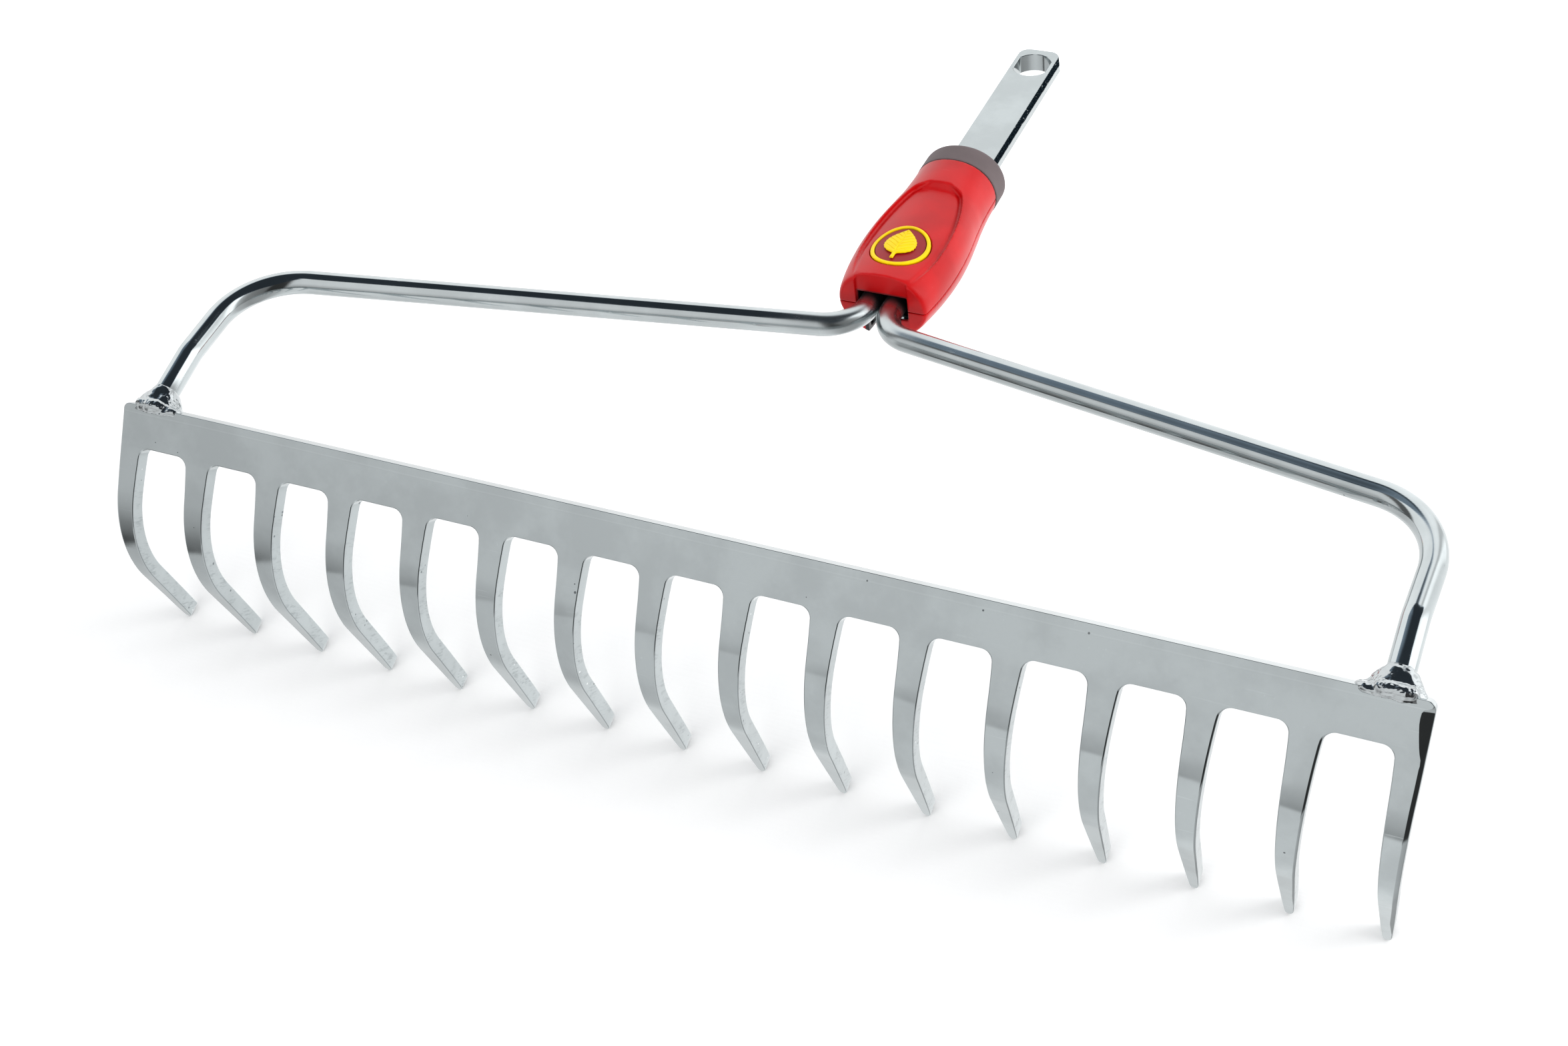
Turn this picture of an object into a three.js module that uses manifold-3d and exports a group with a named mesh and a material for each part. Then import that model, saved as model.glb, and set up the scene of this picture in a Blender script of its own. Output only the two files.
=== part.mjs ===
// Bow rake head with a quick-change tang.
// Units are millimetres, +Z is up. The head stands as it does when it is put down:
// on the points of its tines and on the end of its tang.
//
// Two working frames are used inside the model.
//   blade frame:  origin at the middle of the blade's top front edge, +X to the right,
//                 +Y towards the handle side, +Z up along the flat web of the blade.
//   handle frame: origin at the middle of the tang's end edge on its upper face, +X to the right,
//                 +Y outwards along the tang, +Z square to the tang's upper face.

import * as THREE from 'three';
import { mergeVertices } from 'three/addons/utils/BufferGeometryUtils.js';
import Module from 'manifold-3d';

const wasm = await Module();
wasm.setup();

// ---------------------------------------------------------------- driving dimensions

const CLEAR = 0.3;                // gap kept between pieces that touch

// blade
const TINES = 16;
const PITCH = 27.5;
const BLADE_HALF = 209.5;         // half of the blade's width
const WEB = 13.9;                 // top edge to the roots of the slots
const SHEET = 5.1;                // plate thickness
const TINE_LENGTH = 81.7;         // along the outer face, from the slot root
const BEND_START = 14.9;          // along the outer face
const BEND_END = 52.1;
const BEND_ANGLE = 53.4;          // degrees
const ROOT_RADIUS = 3.6;          // fillet at the slot roots
const CORNER_RADIUS = 2.4;        // outer top corners of the blade
const TINE_HALF = [               // [distance from the slot root, half width]
  [4.5, 4.28], [9.7, 3.95], [14.9, 3.72], [24.4, 3.42], [40.6, 2.94], [56.8, 2.44], [65, 2.12], [73, 1.78],
  [79, 1.46], [80.9, 1.2], [81.7, 0.8],
];
const END_HALF = [                // the same for the outer sides of the two end tines
  [4.5, 3.25], [9.7, 3.2], [14.9, 3.1], [24.4, 2.98], [40.6, 2.75], [56.8, 2.4], [65, 2.1], [73, 1.75],
  [79, 1.46], [80.9, 1.2], [81.7, 0.8],
];

// bow rods: corner points in the blade frame for the right rod, and the radius at each corner
const ROD_R = 4;
const ROD_SIDES = 20;

// tang, in the handle frame
const TANG_W = 16;
const TANG_T = 7;
const TANG_CORNER = 3.8;          // corner radius on the upper face
const TANG_CORNER_LOW = 2.2;      // and on the lower face
const TANG_HOLE_R = 7.4;            // round ends of the locking hole
const TANG_HOLE_FLAT = 6.35;      // half distance between its flat sides
const TANG_HOLE_Y = -10.6;
const STEP_FROM = -104;           // where the bar starts to step down under the rods
const STEP_TO = -118;
const STEP = 8.3;
const STEP_T = 5.3;               // thickness of the lower, inner part
const TANG_INNER_END = -160.6;
const RELIEF = 0.05;              // the tang is this much slimmer all round inside the collar and the cover
const RELIEF_FROM = -83.3;

// attitude of the handle in the blade frame
const HANDLE_SLOPE = 34.06;       // degrees
const HANDLE_AT = [0, 256.7, 156.6];

// cover, in the handle frame
const COVER_C = -3.5;             // height of the parting plane
const COLLAR_END = -83.6;
const COVER_END = -93.4;
const MOUTH = -164.2;
const WALL = 2.2;
// [distance from the tang's end, half width, height of the upper half, its roundness, depth of the lower half, its roundness]
const COVER = [
  [93.7, 15.2, 13.8, 2.12, 12.2, 2.0], [97, 15.2, 13.75, 2.13, 12.6, 2.0], [101, 15.25, 13.75, 2.15, 13.1, 2.04],
  [105, 15.4, 13.75, 2.19, 13.5, 2.12], [109, 15.6, 13.75, 2.25, 13.8, 2.24], [113, 16.0, 13.8, 2.33, 13.95, 2.36],
  [117, 16.4, 13.85, 2.42, 14.0, 2.43], [121, 16.9, 13.9, 2.48, 14.0, 2.44], [125, 17.35, 13.9, 2.53, 14.0, 2.4],
  [129, 17.7, 13.9, 2.57, 14.0, 2.36], [133, 17.95, 13.9, 2.58, 14.0, 2.3], [137, 18.1, 13.85, 2.58, 13.95, 2.22],
  [141, 18.15, 13.8, 2.57, 13.9, 2.13], [145, 18.05, 13.7, 2.54, 13.9, 2.04], [149, 17.85, 13.6, 2.5, 13.9, 1.96],
  [153, 17.5, 13.5, 2.46, 13.8, 1.88], [157, 17.0, 13.3, 2.42, 13.6, 1.82], [160, 16.5, 13.15, 2.4, 13.3, 1.8],
  [162.4, 16.05, 12.95, 2.36, 13.0, 1.8], [163.6, 15.6, 12.6, 2.34, 12.7, 1.8], [164.2, 14.9, 12.1, 2.32, 12.2, 1.8],
];
const COLLAR = [
  [83.6, 14.8, 13.1, 2.1, 11.3, 2.0], [84.1, 15.2, 13.5, 2.12, 11.7, 2.0], [85.2, 15.4, 13.75, 2.12, 11.9, 2.0],
  [93.4, 15.4, 13.9, 2.12, 12.2, 2.0],
];
const PANEL = [                   // sunk panel: [distance from the tang's end, half width]
  [108.2, 5.0], [108.7, 6.6], [109.8, 8.4], [111.6, 9.6], [117, 11.3], [122, 12.4], [128, 13.3], [134, 13.8],
  [140, 14.0], [146, 13.9], [152, 13.3], [158, 12.3], [162, 11.4], [166, 10.6],
];
const panelHeight = (x, s) => THREE.MathUtils.lerp(7.9, 9.4, THREE.MathUtils.smoothstep(s, 106, 164)) - 0.016 * x * x;

const SCREW_R = 1.3;
const SCREW_HEAD_R = 2.6;

const BADGE_Y = -145;
const BADGE_A = 10.0;             // outer half width of the badge's rim
const BADGE_B = 11.6;             // outer half length

// ---------------------------------------------------------------- helpers

const rad = THREE.MathUtils.degToRad;

const toSolid = (geometry) => {
  const g = geometry.clone();
  for (const name of Object.keys(g.attributes)) if (name !== 'position') g.deleteAttribute(name);
  const m = mergeVertices(g, 1e-4);
  return new wasm.Manifold(new wasm.Mesh({
    numProp: 3,
    vertProperties: new Float32Array(m.attributes.position.array),
    triVerts: new Uint32Array(m.index.array),
  }));
};

const toGeometry = (solid) => {
  const mesh = solid.getMesh();
  const n = mesh.numProp;
  const p = new Float32Array((mesh.vertProperties.length / n) * 3);
  for (let i = 0; i < p.length / 3; i++) for (let k = 0; k < 3; k++) p[3 * i + k] = mesh.vertProperties[n * i + k];
  const g = new THREE.BufferGeometry();
  g.setAttribute('position', new THREE.BufferAttribute(p, 3));
  g.setIndex(new THREE.BufferAttribute(new Uint32Array(mesh.triVerts), 1));
  g.computeVertexNormals();
  return g;
};

const fromLists = (points, triangles) => {
  const g = new THREE.BufferGeometry();
  g.setAttribute('position', new THREE.Float32BufferAttribute(points.flat(), 3));
  g.setIndex(triangles.flat());
  g.computeVertexNormals();
  return g;
};

const table = (rows, s, column = 1) => {
  if (s <= rows[0][0]) return rows[0][column];
  for (let i = 1; i < rows.length; i++) {
    if (s <= rows[i][0]) {
      const t = (s - rows[i - 1][0]) / (rows[i][0] - rows[i - 1][0]);
      return rows[i - 1][column] + t * (rows[i][column] - rows[i - 1][column]);
    }
  }
  return rows[rows.length - 1][column];
};

const box = (x0, x1, y0, y1, z0, z1) => {
  const g = new THREE.BoxGeometry(x1 - x0, y1 - y0, z1 - z0);
  g.translate((x0 + x1) / 2, (y0 + y1) / 2, (z0 + z1) / 2);
  return toSolid(g);
};

// a cylinder standing along Z
const post = (x, y, z0, z1, r, sides = 24) => {
  const g = new THREE.CylinderGeometry(r, r, z1 - z0, sides);
  g.rotateX(Math.PI / 2);
  g.translate(x, y, (z0 + z1) / 2);
  return toSolid(g);
};

// closed solid through a list of rings that all have the same number of points, caps on both ends
const loft = (rings) => {
  const n = rings[0].length;
  const points = rings.flat().map((p) => [p.x, p.y, p.z]);
  const tris = [];
  for (let i = 0; i + 1 < rings.length; i++) {
    for (let j = 0; j < n; j++) {
      const k = (j + 1) % n;
      tris.push([i * n + j, i * n + k, (i + 1) * n + k], [i * n + j, (i + 1) * n + k, (i + 1) * n + j]);
    }
  }
  const cap = (offset, flip) => {
    const c = new THREE.Vector3();
    for (let j = 0; j < n; j++) c.add(rings[offset / n][j]);
    c.multiplyScalar(1 / n);
    points.push([c.x, c.y, c.z]);
    const m = points.length - 1;
    for (let j = 0; j < n; j++) {
      const k = (j + 1) % n;
      tris.push(flip ? [m, offset + k, offset + j] : [m, offset + j, offset + k]);
    }
  };
  cap(0, true);
  cap((rings.length - 1) * n, false);
  return fromLists(points, tris);
};

// the loft's faces point out when its rings run against the direction of travel; this turns them if not
const outward = (geometry) => {
  const p = geometry.attributes.position;
  const ix = geometry.index.array;
  let v = 0;
  const a = new THREE.Vector3(), b = new THREE.Vector3(), c = new THREE.Vector3();
  for (let i = 0; i < ix.length; i += 3) {
    a.fromBufferAttribute(p, ix[i]); b.fromBufferAttribute(p, ix[i + 1]); c.fromBufferAttribute(p, ix[i + 2]);
    v += a.dot(b.cross(c));
  }
  if (v < 0) {
    for (let i = 0; i < ix.length; i += 3) { const t = ix[i]; ix[i] = ix[i + 1]; ix[i + 1] = t; }
    geometry.computeVertexNormals();
  }
  return geometry;
};

// a path that is sampled exactly at its own points
class Polyline extends THREE.Curve {
  constructor(points) { super(); this.points = points; }
  getUtoTmapping(u) { return u; }
  getPoint(t, target = new THREE.Vector3()) {
    const n = this.points.length - 1;
    const x = Math.min(Math.max(t, 0), 1) * n;
    const i = Math.min(Math.floor(x), n - 1);
    return target.copy(this.points[i]).lerp(this.points[i + 1], x - i);
  }
}

const circle = (r, sides) => {
  const pts = [];
  for (let i = 0; i < sides; i++) {
    const a = (i / sides) * Math.PI * 2;
    pts.push(new THREE.Vector2(r * Math.cos(a), r * Math.sin(a)));
  }
  return new THREE.Shape(pts);
};

const tube = (points, r, sides) => {
  const path = new Polyline(points);
  return new THREE.ExtrudeGeometry(circle(r, sides), { steps: points.length - 1, bevelEnabled: false, extrudePath: path });
};

// corner points with a radius at each inner corner
const rounded = (corners, radii, parts) => {
  const out = [corners[0].clone()];
  for (let i = 1; i + 1 < corners.length; i++) {
    const b = corners[i];
    const u = corners[i - 1].clone().sub(b).normalize();
    const w = corners[i + 1].clone().sub(b).normalize();
    const angle = Math.acos(THREE.MathUtils.clamp(u.dot(w), -1, 1));
    const r = radii[i - 1];
    const tl = r / Math.tan(angle / 2);
    const centre = u.clone().add(w).normalize().multiplyScalar(Math.hypot(r, tl)).add(b);
    const a0 = u.clone().multiplyScalar(tl).add(b).sub(centre);
    const a1 = w.clone().multiplyScalar(tl).add(b).sub(centre);
    const total = a0.angleTo(a1);
    for (let j = 0; j <= parts; j++) {
      const t = j / parts;
      out.push(a0.clone().multiplyScalar(Math.sin((1 - t) * total)).add(a1.clone().multiplyScalar(Math.sin(t * total)))
        .divideScalar(Math.sin(total)).add(centre));
    }
  }
  out.push(corners[corners.length - 1].clone());
  return out;
};

const mirrorX = (geometry) => {
  const g = geometry.clone();
  const p = g.attributes.position;
  for (let i = 0; i < p.count; i++) p.setX(i, -p.getX(i));
  if (g.index) {
    const ix = g.index.array;
    for (let i = 0; i < ix.length; i += 3) { const t = ix[i]; ix[i] = ix[i + 1]; ix[i + 1] = t; }
  } else {
    const q = p.array;
    for (let i = 0; i < q.length; i += 9) for (let k = 0; k < 3; k++) { const t = q[i + k]; q[i + k] = q[i + 3 + k]; q[i + 3 + k] = t; }
  }
  g.deleteAttribute('normal');
  g.computeVertexNormals();
  return g;
};

// ---------------------------------------------------------------- frames

const handleMatrix = new THREE.Matrix4()
  .makeTranslation(...HANDLE_AT)
  .multiply(new THREE.Matrix4().makeRotationX(rad(HANDLE_SLOPE)));
const handleInverse = handleMatrix.clone().invert();
const inBlade = (x, y, z) => new THREE.Vector3(x, y, z).applyMatrix4(handleMatrix);

// ---------------------------------------------------------------- blade

const BEND_R = (BEND_END - BEND_START) / rad(BEND_ANGLE);

// point of the plate at distance s below the slot roots and depth d behind the outer face
const plate = (x, s, d) => {
  const f = rad(BEND_ANGLE) * THREE.MathUtils.clamp((s - BEND_START) / (BEND_END - BEND_START), 0, 1);
  let y = 0, z = -WEB - s;
  if (s > BEND_START) {
    y = BEND_R * (1 - Math.cos(f));
    z = -WEB - BEND_START - BEND_R * Math.sin(f);
  }
  if (s > BEND_END) {
    y += (s - BEND_END) * Math.sin(f);
    z -= (s - BEND_END) * Math.cos(f);
  }
  return [x, y + d * Math.cos(f), z + d * Math.sin(f)];
};

const bladeGeometry = () => {
  const ROWS = [4.5, 9.7, 14.9, 20.2, 25.5, 30.8, 36.2, 41.5, 46.8, 52.1, 58.5, 65, 73, 79, 80.9, 81.7];
  const outline = [];             // [x, s] all round the plate, anticlockwise seen from the front
  const strips = [];              // per tine: indices of its left and right points, row by row
  const web = [];                 // indices of the outline points that bound the flat web
  const add = (x, s, inWeb) => {
    outline.push([x, s]);
    if (inWeb) web.push(outline.length - 1);
    return outline.length - 1;
  };
  const xe = BLADE_HALF;
  // top left corner, then down the left end
  for (let j = 0; j <= 4; j++) {
    const a = Math.PI / 2 + (j / 4) * (Math.PI / 2);
    add(-xe + CORNER_RADIUS + CORNER_RADIUS * Math.cos(a), -WEB + CORNER_RADIUS - CORNER_RADIUS * Math.sin(a), true);
  }
  for (let k = 0; k < TINES; k++) {
    const xc = (k - (TINES - 1) / 2) * PITCH;
    const leftHalf = k === 0 ? END_HALF : TINE_HALF;
    const rightHalf = k === TINES - 1 ? END_HALF : TINE_HALF;
    if (k === 0) add(-xe, 2.2, true);
    const left = ROWS.map((s, i) => add(xc - table(leftHalf, s), s, i === 0));
    const right = [];
    for (let i = ROWS.length - 1; i >= 0; i--) right[i] = add(xc + table(rightHalf, ROWS[i]), ROWS[i], i === 0);
    strips.push([left, right]);
    if (k < TINES - 1) {
      // slot root with a fillet on each side
      const x0 = xc + 4.38, x1 = xc + PITCH - 4.38;
      for (let j = 0; j <= 5; j++) {
        const a = (j / 5) * (Math.PI / 2);
        add(x0 + ROOT_RADIUS * (1 - Math.cos(a)), ROOT_RADIUS * (1 - Math.sin(a)), true);
      }
      for (let j = 5; j >= 0; j--) {
        const a = (j / 5) * (Math.PI / 2);
        add(x1 - ROOT_RADIUS * (1 - Math.cos(a)), ROOT_RADIUS * (1 - Math.sin(a)), true);
      }
    }
  }
  add(xe, 2.2, true);
  for (let j = 4; j >= 0; j--) {
    const a = Math.PI / 2 - (j / 4) * (Math.PI / 2);
    add(xe - CORNER_RADIUS + CORNER_RADIUS * Math.cos(a), -WEB + CORNER_RADIUS - CORNER_RADIUS * Math.sin(a), true);
  }
  const n = outline.length;
  const points = [...outline.map(([x, s]) => plate(x, s, 0)), ...outline.map(([x, s]) => plate(x, s, SHEET))];
  const tris = [];
  const face = (a, b, c) => { tris.push([a, b, c], [a + n, c + n, b + n]); };
  const flat = THREE.ShapeUtils.triangulateShape(web.map((i) => new THREE.Vector2(outline[i][0], -outline[i][1])), []);
  for (const [a, b, c] of flat) face(web[a], web[b], web[c]);
  for (const [left, right] of strips) {
    for (let i = 0; i + 1 < left.length; i++) {
      face(left[i], left[i + 1], right[i + 1]);
      face(left[i], right[i + 1], right[i]);
    }
  }
  for (let i = 0; i < n; i++) {
    const k = (i + 1) % n;
    tris.push([i, i + n, k + n], [i, k + n, k]);
  }
  return outward(fromLists(points, tris));
};

// ---------------------------------------------------------------- bow rods

const rodDirection = new THREE.Vector3(198.5, 17.6, 17.0).sub(new THREE.Vector3(198.6, 3.4, -0.5)).normalize();
const rodFoot = new THREE.Vector3(198.6, 3.4, -0.5).addScaledVector(rodDirection, 4.6);
const rodCorners = [
  rodFoot,
  new THREE.Vector3(198.5, 17.6, 17.0),
  new THREE.Vector3(199.6, 47.3, 41.0),
  inBlade(4.3, -177.9, -2.3),
  inBlade(4.2, -136, -3.7),
];
const rodPath = rounded(rodCorners, [16.8, 28.2, 16.75], 7);
const rodRight = tube(rodPath, ROD_R, ROD_SIDES);
const rodLeft = mirrorX(rodRight);
const rodCutRight = tube(rodPath, ROD_R + 0.38, ROD_SIDES);
const rodCutLeft = mirrorX(rodCutRight);
const rodCuts = toSolid(rodCutRight).add(toSolid(rodCutLeft));            // blade frame
const rodCutsHandle = toSolid(rodCutRight.clone().applyMatrix4(handleInverse))
  .add(toSolid(rodCutLeft.clone().applyMatrix4(handleInverse)));          // handle frame

// ---------------------------------------------------------------- weld beads

// a lump with a slightly uneven skin
const lump = (radii, seed, detail = 4) => {
  const g = mergeVertices((() => { const i = new THREE.IcosahedronGeometry(1, detail); i.deleteAttribute('normal'); i.deleteAttribute('uv'); return i; })(), 1e-4);
  const p = g.attributes.position;
  for (let i = 0; i < p.count; i++) {
    const x = p.getX(i), y = p.getY(i), z = p.getZ(i);
    const k = 1 + 0.06 * Math.sin(5.1 * x + seed) * Math.cos(4.3 * y - seed) + 0.05 * Math.sin(9.7 * z + 3.1 * x + 2 * seed);
    p.setXYZ(i, x * k * radii[0], y * k * radii[1], z * k * radii[2]);
  }
  return g;
};

const bladeSlab = box(-215, 215, -CLEAR, SHEET + CLEAR, -40, CLEAR);
const bladeWeld = (side) => {
  const g = lump([9.0, 5.0, 4.0], side * 1.7);
  g.translate(side * 198.0, 3.0, -0.4);
  const t = lump([5.7, 5.7, 3.6], side * 2.9);
  t.translate(side * 198.8, 4.6, 1.6);
  const b = box(side * 198.2 - 14, side * 198.2 + 14, -6, 14, -1.9, 20);
  return toGeometry(toSolid(g).add(toSolid(t)).intersect(b).subtract(bladeSlab).subtract(rodCuts));
};

// ---------------------------------------------------------------- tang (handle frame)

const tangSolid = () => {
  const profile = new THREE.Shape([
    new THREE.Vector2(0, 0),
    new THREE.Vector2(STEP_FROM, 0),
    new THREE.Vector2(STEP_TO, -STEP),
    new THREE.Vector2(TANG_INNER_END, -STEP),
    new THREE.Vector2(TANG_INNER_END, -STEP - STEP_T),
    new THREE.Vector2(STEP_TO - 2.6, -STEP - STEP_T),
    new THREE.Vector2(STEP_FROM - 3.4, -TANG_T),
    new THREE.Vector2(0, -TANG_T),
  ].reverse());
  const bar = new THREE.ExtrudeGeometry(profile, { depth: TANG_W, bevelEnabled: false });
  // profile plane (y, z), extruded along x
  bar.applyMatrix4(new THREE.Matrix4().makeBasis(new THREE.Vector3(0, 1, 0), new THREE.Vector3(0, 0, 1), new THREE.Vector3(1, 0, 0)));
  bar.translate(-TANG_W / 2, 0, 0);
  // plan outline: the corners are rounder on the upper face, where the shears came in
  const plan = (z, c) => {
    const w = TANG_W / 2;
    const ring = [new THREE.Vector3(-w, TANG_INNER_END - 5, z), new THREE.Vector3(w, TANG_INNER_END - 5, z)];
    for (let j = 0; j <= 6; j++) {
      const a = (j / 6) * (Math.PI / 2);
      ring.push(new THREE.Vector3(w - c + c * Math.cos(a), -c + c * Math.sin(a), z));
    }
    for (let j = 0; j <= 6; j++) {
      const a = Math.PI / 2 + (j / 6) * (Math.PI / 2);
      ring.push(new THREE.Vector3(-w + c + c * Math.cos(a), -c + c * Math.sin(a), z));
    }
    return ring;
  };
  const prism = outward(loft([plan(-30, TANG_CORNER_LOW), plan(-TANG_T, TANG_CORNER_LOW), plan(0, TANG_CORNER), plan(10, TANG_CORNER)]));
  return toSolid(bar).intersect(toSolid(prism))
    .subtract(post(0, TANG_HOLE_Y, -20, 10, TANG_HOLE_R, 48)
      .intersect(box(-TANG_HOLE_FLAT, TANG_HOLE_FLAT, -30, 10, -30, 20)))
    .subtract(post(0, -100, -20, 10, SCREW_R + 0.5, 20))
    .subtract(box(TANG_W / 2 - RELIEF, TANG_W, -180, RELIEF_FROM, -30, 10))
    .subtract(box(-TANG_W, -TANG_W / 2 + RELIEF, -180, RELIEF_FROM, -30, 10))
    .subtract(box(-TANG_W, TANG_W, STEP_FROM, RELIEF_FROM, -RELIEF, 10))
    .subtract(box(-TANG_W, TANG_W, STEP_FROM, RELIEF_FROM, -TANG_T - 5, -TANG_T + RELIEF));
};

// ---------------------------------------------------------------- cover (handle frame)

const RING = 56;
// outline of the cover at one station: the upper and the lower half have their own height and roundness
const section = ([s, a, up, upPower, low, lowPower], inset = 0, flatUp = 1, flatLow = 1) => {
  const ring = [];
  for (let j = 0; j < RING; j++) {
    const t = (j / RING) * Math.PI * 2;
    const c = Math.cos(t), n = Math.sin(t);
    const power = n >= 0 ? upPower : lowPower;
    const height = n >= 0 ? (up - inset) * flatUp : (low - inset) * flatLow;
    ring.push(new THREE.Vector3(
      (a - inset) * Math.sign(c) * Math.abs(c) ** (2 / power),
      -s,
      COVER_C + height * Math.sign(n) * Math.abs(n) ** (2 / power),
    ));
  }
  return ring;
};

const coverRow = (s) => [s, ...[1, 2, 3, 4, 5].map((k) => table(COVER, s, k))];

const coverOuter = () => toSolid(outward(loft(COVER.map((row) => section(row)))));
const coverInner = () => toSolid(outward(loft(
  [95.6, 100, 105, 112, 120, 128, 136, 144, 152, 158, 161].map((s) => section(coverRow(s), WALL, 0.69, 1)))));

// everything above the sunk panel
const panelCutter = () => {
  const across = 12;
  const rings = [];
  const stations = [108.2, 108.7, 109.8, 111.6, 114, 117, 122, 128, 134, 140, 146, 152, 158, 162, 166];
  for (const s of stations) {
    const w = table(PANEL, s);
    const ring = [];
    for (let j = 0; j <= across; j++) {
      const x = -w + (2 * w * j) / across;
      ring.push(new THREE.Vector3(x, -s, panelHeight(x, s)));
    }
    ring.push(new THREE.Vector3(w + 0.6, -s, 14), new THREE.Vector3(-w - 0.6, -s, 14));
    rings.push(ring);
  }
  return toSolid(outward(loft(rings)));
};

// a flat ring or disc whose top and bottom follow the sunk panel
const onPanel = (a, b, below, above, inner = 0, sides = 40) => {
  const points = [], tris = [];
  const steps = inner > 0 ? [inner, 1] : [0, 0.35, 0.7, 1];
  const put = (k, t, up) => {
    const x = k[0] * Math.cos(t), y = BADGE_Y + k[1] * Math.sin(t);
    points.push([x, y, panelHeight(x, -y) + (up ? above : -below)]);
    return points.length - 1;
  };
  const size = (r) => (inner > 0 && r === inner ? [a - inner0, b - inner0] : [a * r, b * r]);
  const inner0 = inner > 0 ? inner : 0;
  const layer = (up) => steps.map((r) => {
    const k = size(r);
    if (r === 0) return [put([0, 0], 0, up)];
    return Array.from({ length: sides }, (_, i) => put(k, (i / sides) * Math.PI * 2, up));
  });
  const top = layer(true), bottom = layer(false);
  const join = (L, up) => {
    for (let i = 0; i + 1 < L.length; i++) {
      for (let j = 0; j < sides; j++) {
        const k = (j + 1) % sides;
        const p = L[i], q = L[i + 1];
        if (p.length === 1) tris.push(up ? [p[0], q[j], q[k]] : [p[0], q[k], q[j]]);
        else if (up) tris.push([p[j], q[j], q[k]], [p[j], q[k], p[k]]);
        else tris.push([p[j], q[k], q[j]], [p[j], p[k], q[k]]);
      }
    }
  };
  join(top, true);
  join(bottom, false);
  const last = steps.length - 1;
  for (let j = 0; j < sides; j++) {
    const k = (j + 1) % sides;
    tris.push([bottom[last][j], bottom[last][k], top[last][k]], [bottom[last][j], top[last][k], top[last][j]]);
    if (inner > 0) tris.push([bottom[0][k], bottom[0][j], top[0][j]], [bottom[0][k], top[0][j], top[0][k]]);
  }
  return fromLists(points, tris);
};

// [x, y, underside of the head seat, top of the screw]
const screwPlaces = [[0, -100, -13.1, 3.4], [11.4, -128, -9.8, 0.9], [-11.4, -128, -9.8, 0.9]];

const covers = () => {
  const outer = coverOuter();
  const hollow = coverInner();
  const mouth = box(-8.85, 8.85, -175, -158, -6.8, 1.5);
  const notch = box(-5.6, 5.6, -175, -150, -30, -6.6);
  const centreFace = box(-9.3, 9.3, -175, -163.3, -6.8, 20);
  const tangSlot = box(-TANG_W / 2 - 0.35, TANG_W / 2 + 0.35, -100, -90, -TANG_T - 0.35, 0.35);
  const tangRoom = box(-TANG_W / 2 - 0.4, TANG_W / 2 + 0.4, -161.5, -95, -STEP - STEP_T - 0.35, 0.4);
  const upperHalf = box(-40, 40, -180, -80, COVER_C + 0.15, 40);
  const lowerHalf = box(-40, 40, -180, -80, -40, COVER_C - 0.15);
  const pocket = toSolid(onPanel(BADGE_A + 0.35, BADGE_B + 0.35, 1.1, 12));
  let body = outer.subtract(hollow);
  for (const [x, y] of screwPlaces) body = body.add(post(x, y, -17, 6.5, x === 0 ? 3.6 : 3.9, 20).intersect(outer));
  body = body.subtract(mouth).subtract(centreFace).subtract(tangSlot).subtract(tangRoom).subtract(rodCutsHandle);
  let upper = body.intersect(upperHalf).subtract(panelCutter()).subtract(pocket);
  let lower = body.intersect(lowerHalf).subtract(notch);
  for (const [x, y, seat, top] of screwPlaces) {
    upper = upper.subtract(post(x, y, -20, top + 0.4, SCREW_R + 0.3, 16));
    lower = lower.subtract(post(x, y, -30, seat, SCREW_HEAD_R + 0.4, 20)).subtract(post(x, y, -30, 10, SCREW_R + 0.35, 16));
  }
  return [toGeometry(upper), toGeometry(lower)];
};

const collarGeometry = () => {
  const outer = toSolid(outward(loft(COLLAR.map((row) => section(row)))));
  const inner = toSolid(outward(loft([section([86.6, ...COLLAR[3].slice(1)], 2.4), section([96, ...COLLAR[3].slice(1)], 2.4)])));
  const slot = box(-TANG_W / 2 - 0.35, TANG_W / 2 + 0.35, -100, -80, -TANG_T - 0.35, 0.35);
  return toGeometry(outer.subtract(inner).subtract(slot));
};

// screw along +Z, head down
const screwGeometry = (length) => {
  const profile = [[0, 0], [1.7, 0], [2.4, 0.4], [SCREW_HEAD_R, 1.0], [SCREW_HEAD_R, 2.0], [SCREW_R, 2.0],
    [SCREW_R, length - 1], [0.8, length], [0, length]].map(([r, z]) => new THREE.Vector2(r, z));
  const g = new THREE.LatheGeometry(profile, 20);
  g.rotateX(Math.PI / 2);
  g.deleteAttribute('normal');
  g.deleteAttribute('uv');
  return toSolid(outward(mergeVertices(g, 1e-4)))
    .subtract(box(-0.4, 0.4, -1.5, 1.5, -1, 1.1))
    .subtract(box(-1.5, 1.5, -0.4, 0.4, -1, 1.1));
};

// leaf with a stalk, raised on the badge
const leafGeometry = () => {
  const across = 6;
  const rows = [[7.2, 0.3], [6.6, 0.95], [5.6, 1.9], [4.4, 2.9], [3.0, 3.8], [1.4, 4.45], [-0.2, 4.65], [-1.8, 4.3],
    [-3.2, 3.3], [-4.2, 2.0], [-4.8, 0.8], [-5.2, 0.5], [-7.6, 0.5]].map(([y, w]) => [y * 1.12, w * 1.22]);
  return outward(loft(rows.map(([y, w]) => {
    const ring = [];
    for (let j = 0; j <= across; j++) {
      const x = -w + (2 * w * j) / across;
      ring.push(new THREE.Vector3(x, BADGE_Y + y, panelHeight(x, -BADGE_Y - y) + 0.42));
    }
    for (let j = across; j >= 0; j--) {
      const x = -w + (2 * w * j) / across;
      ring.push(new THREE.Vector3(x, BADGE_Y + y, panelHeight(x, -BADGE_Y - y) + 1.0));
    }
    return ring;
  })));
};

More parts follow.
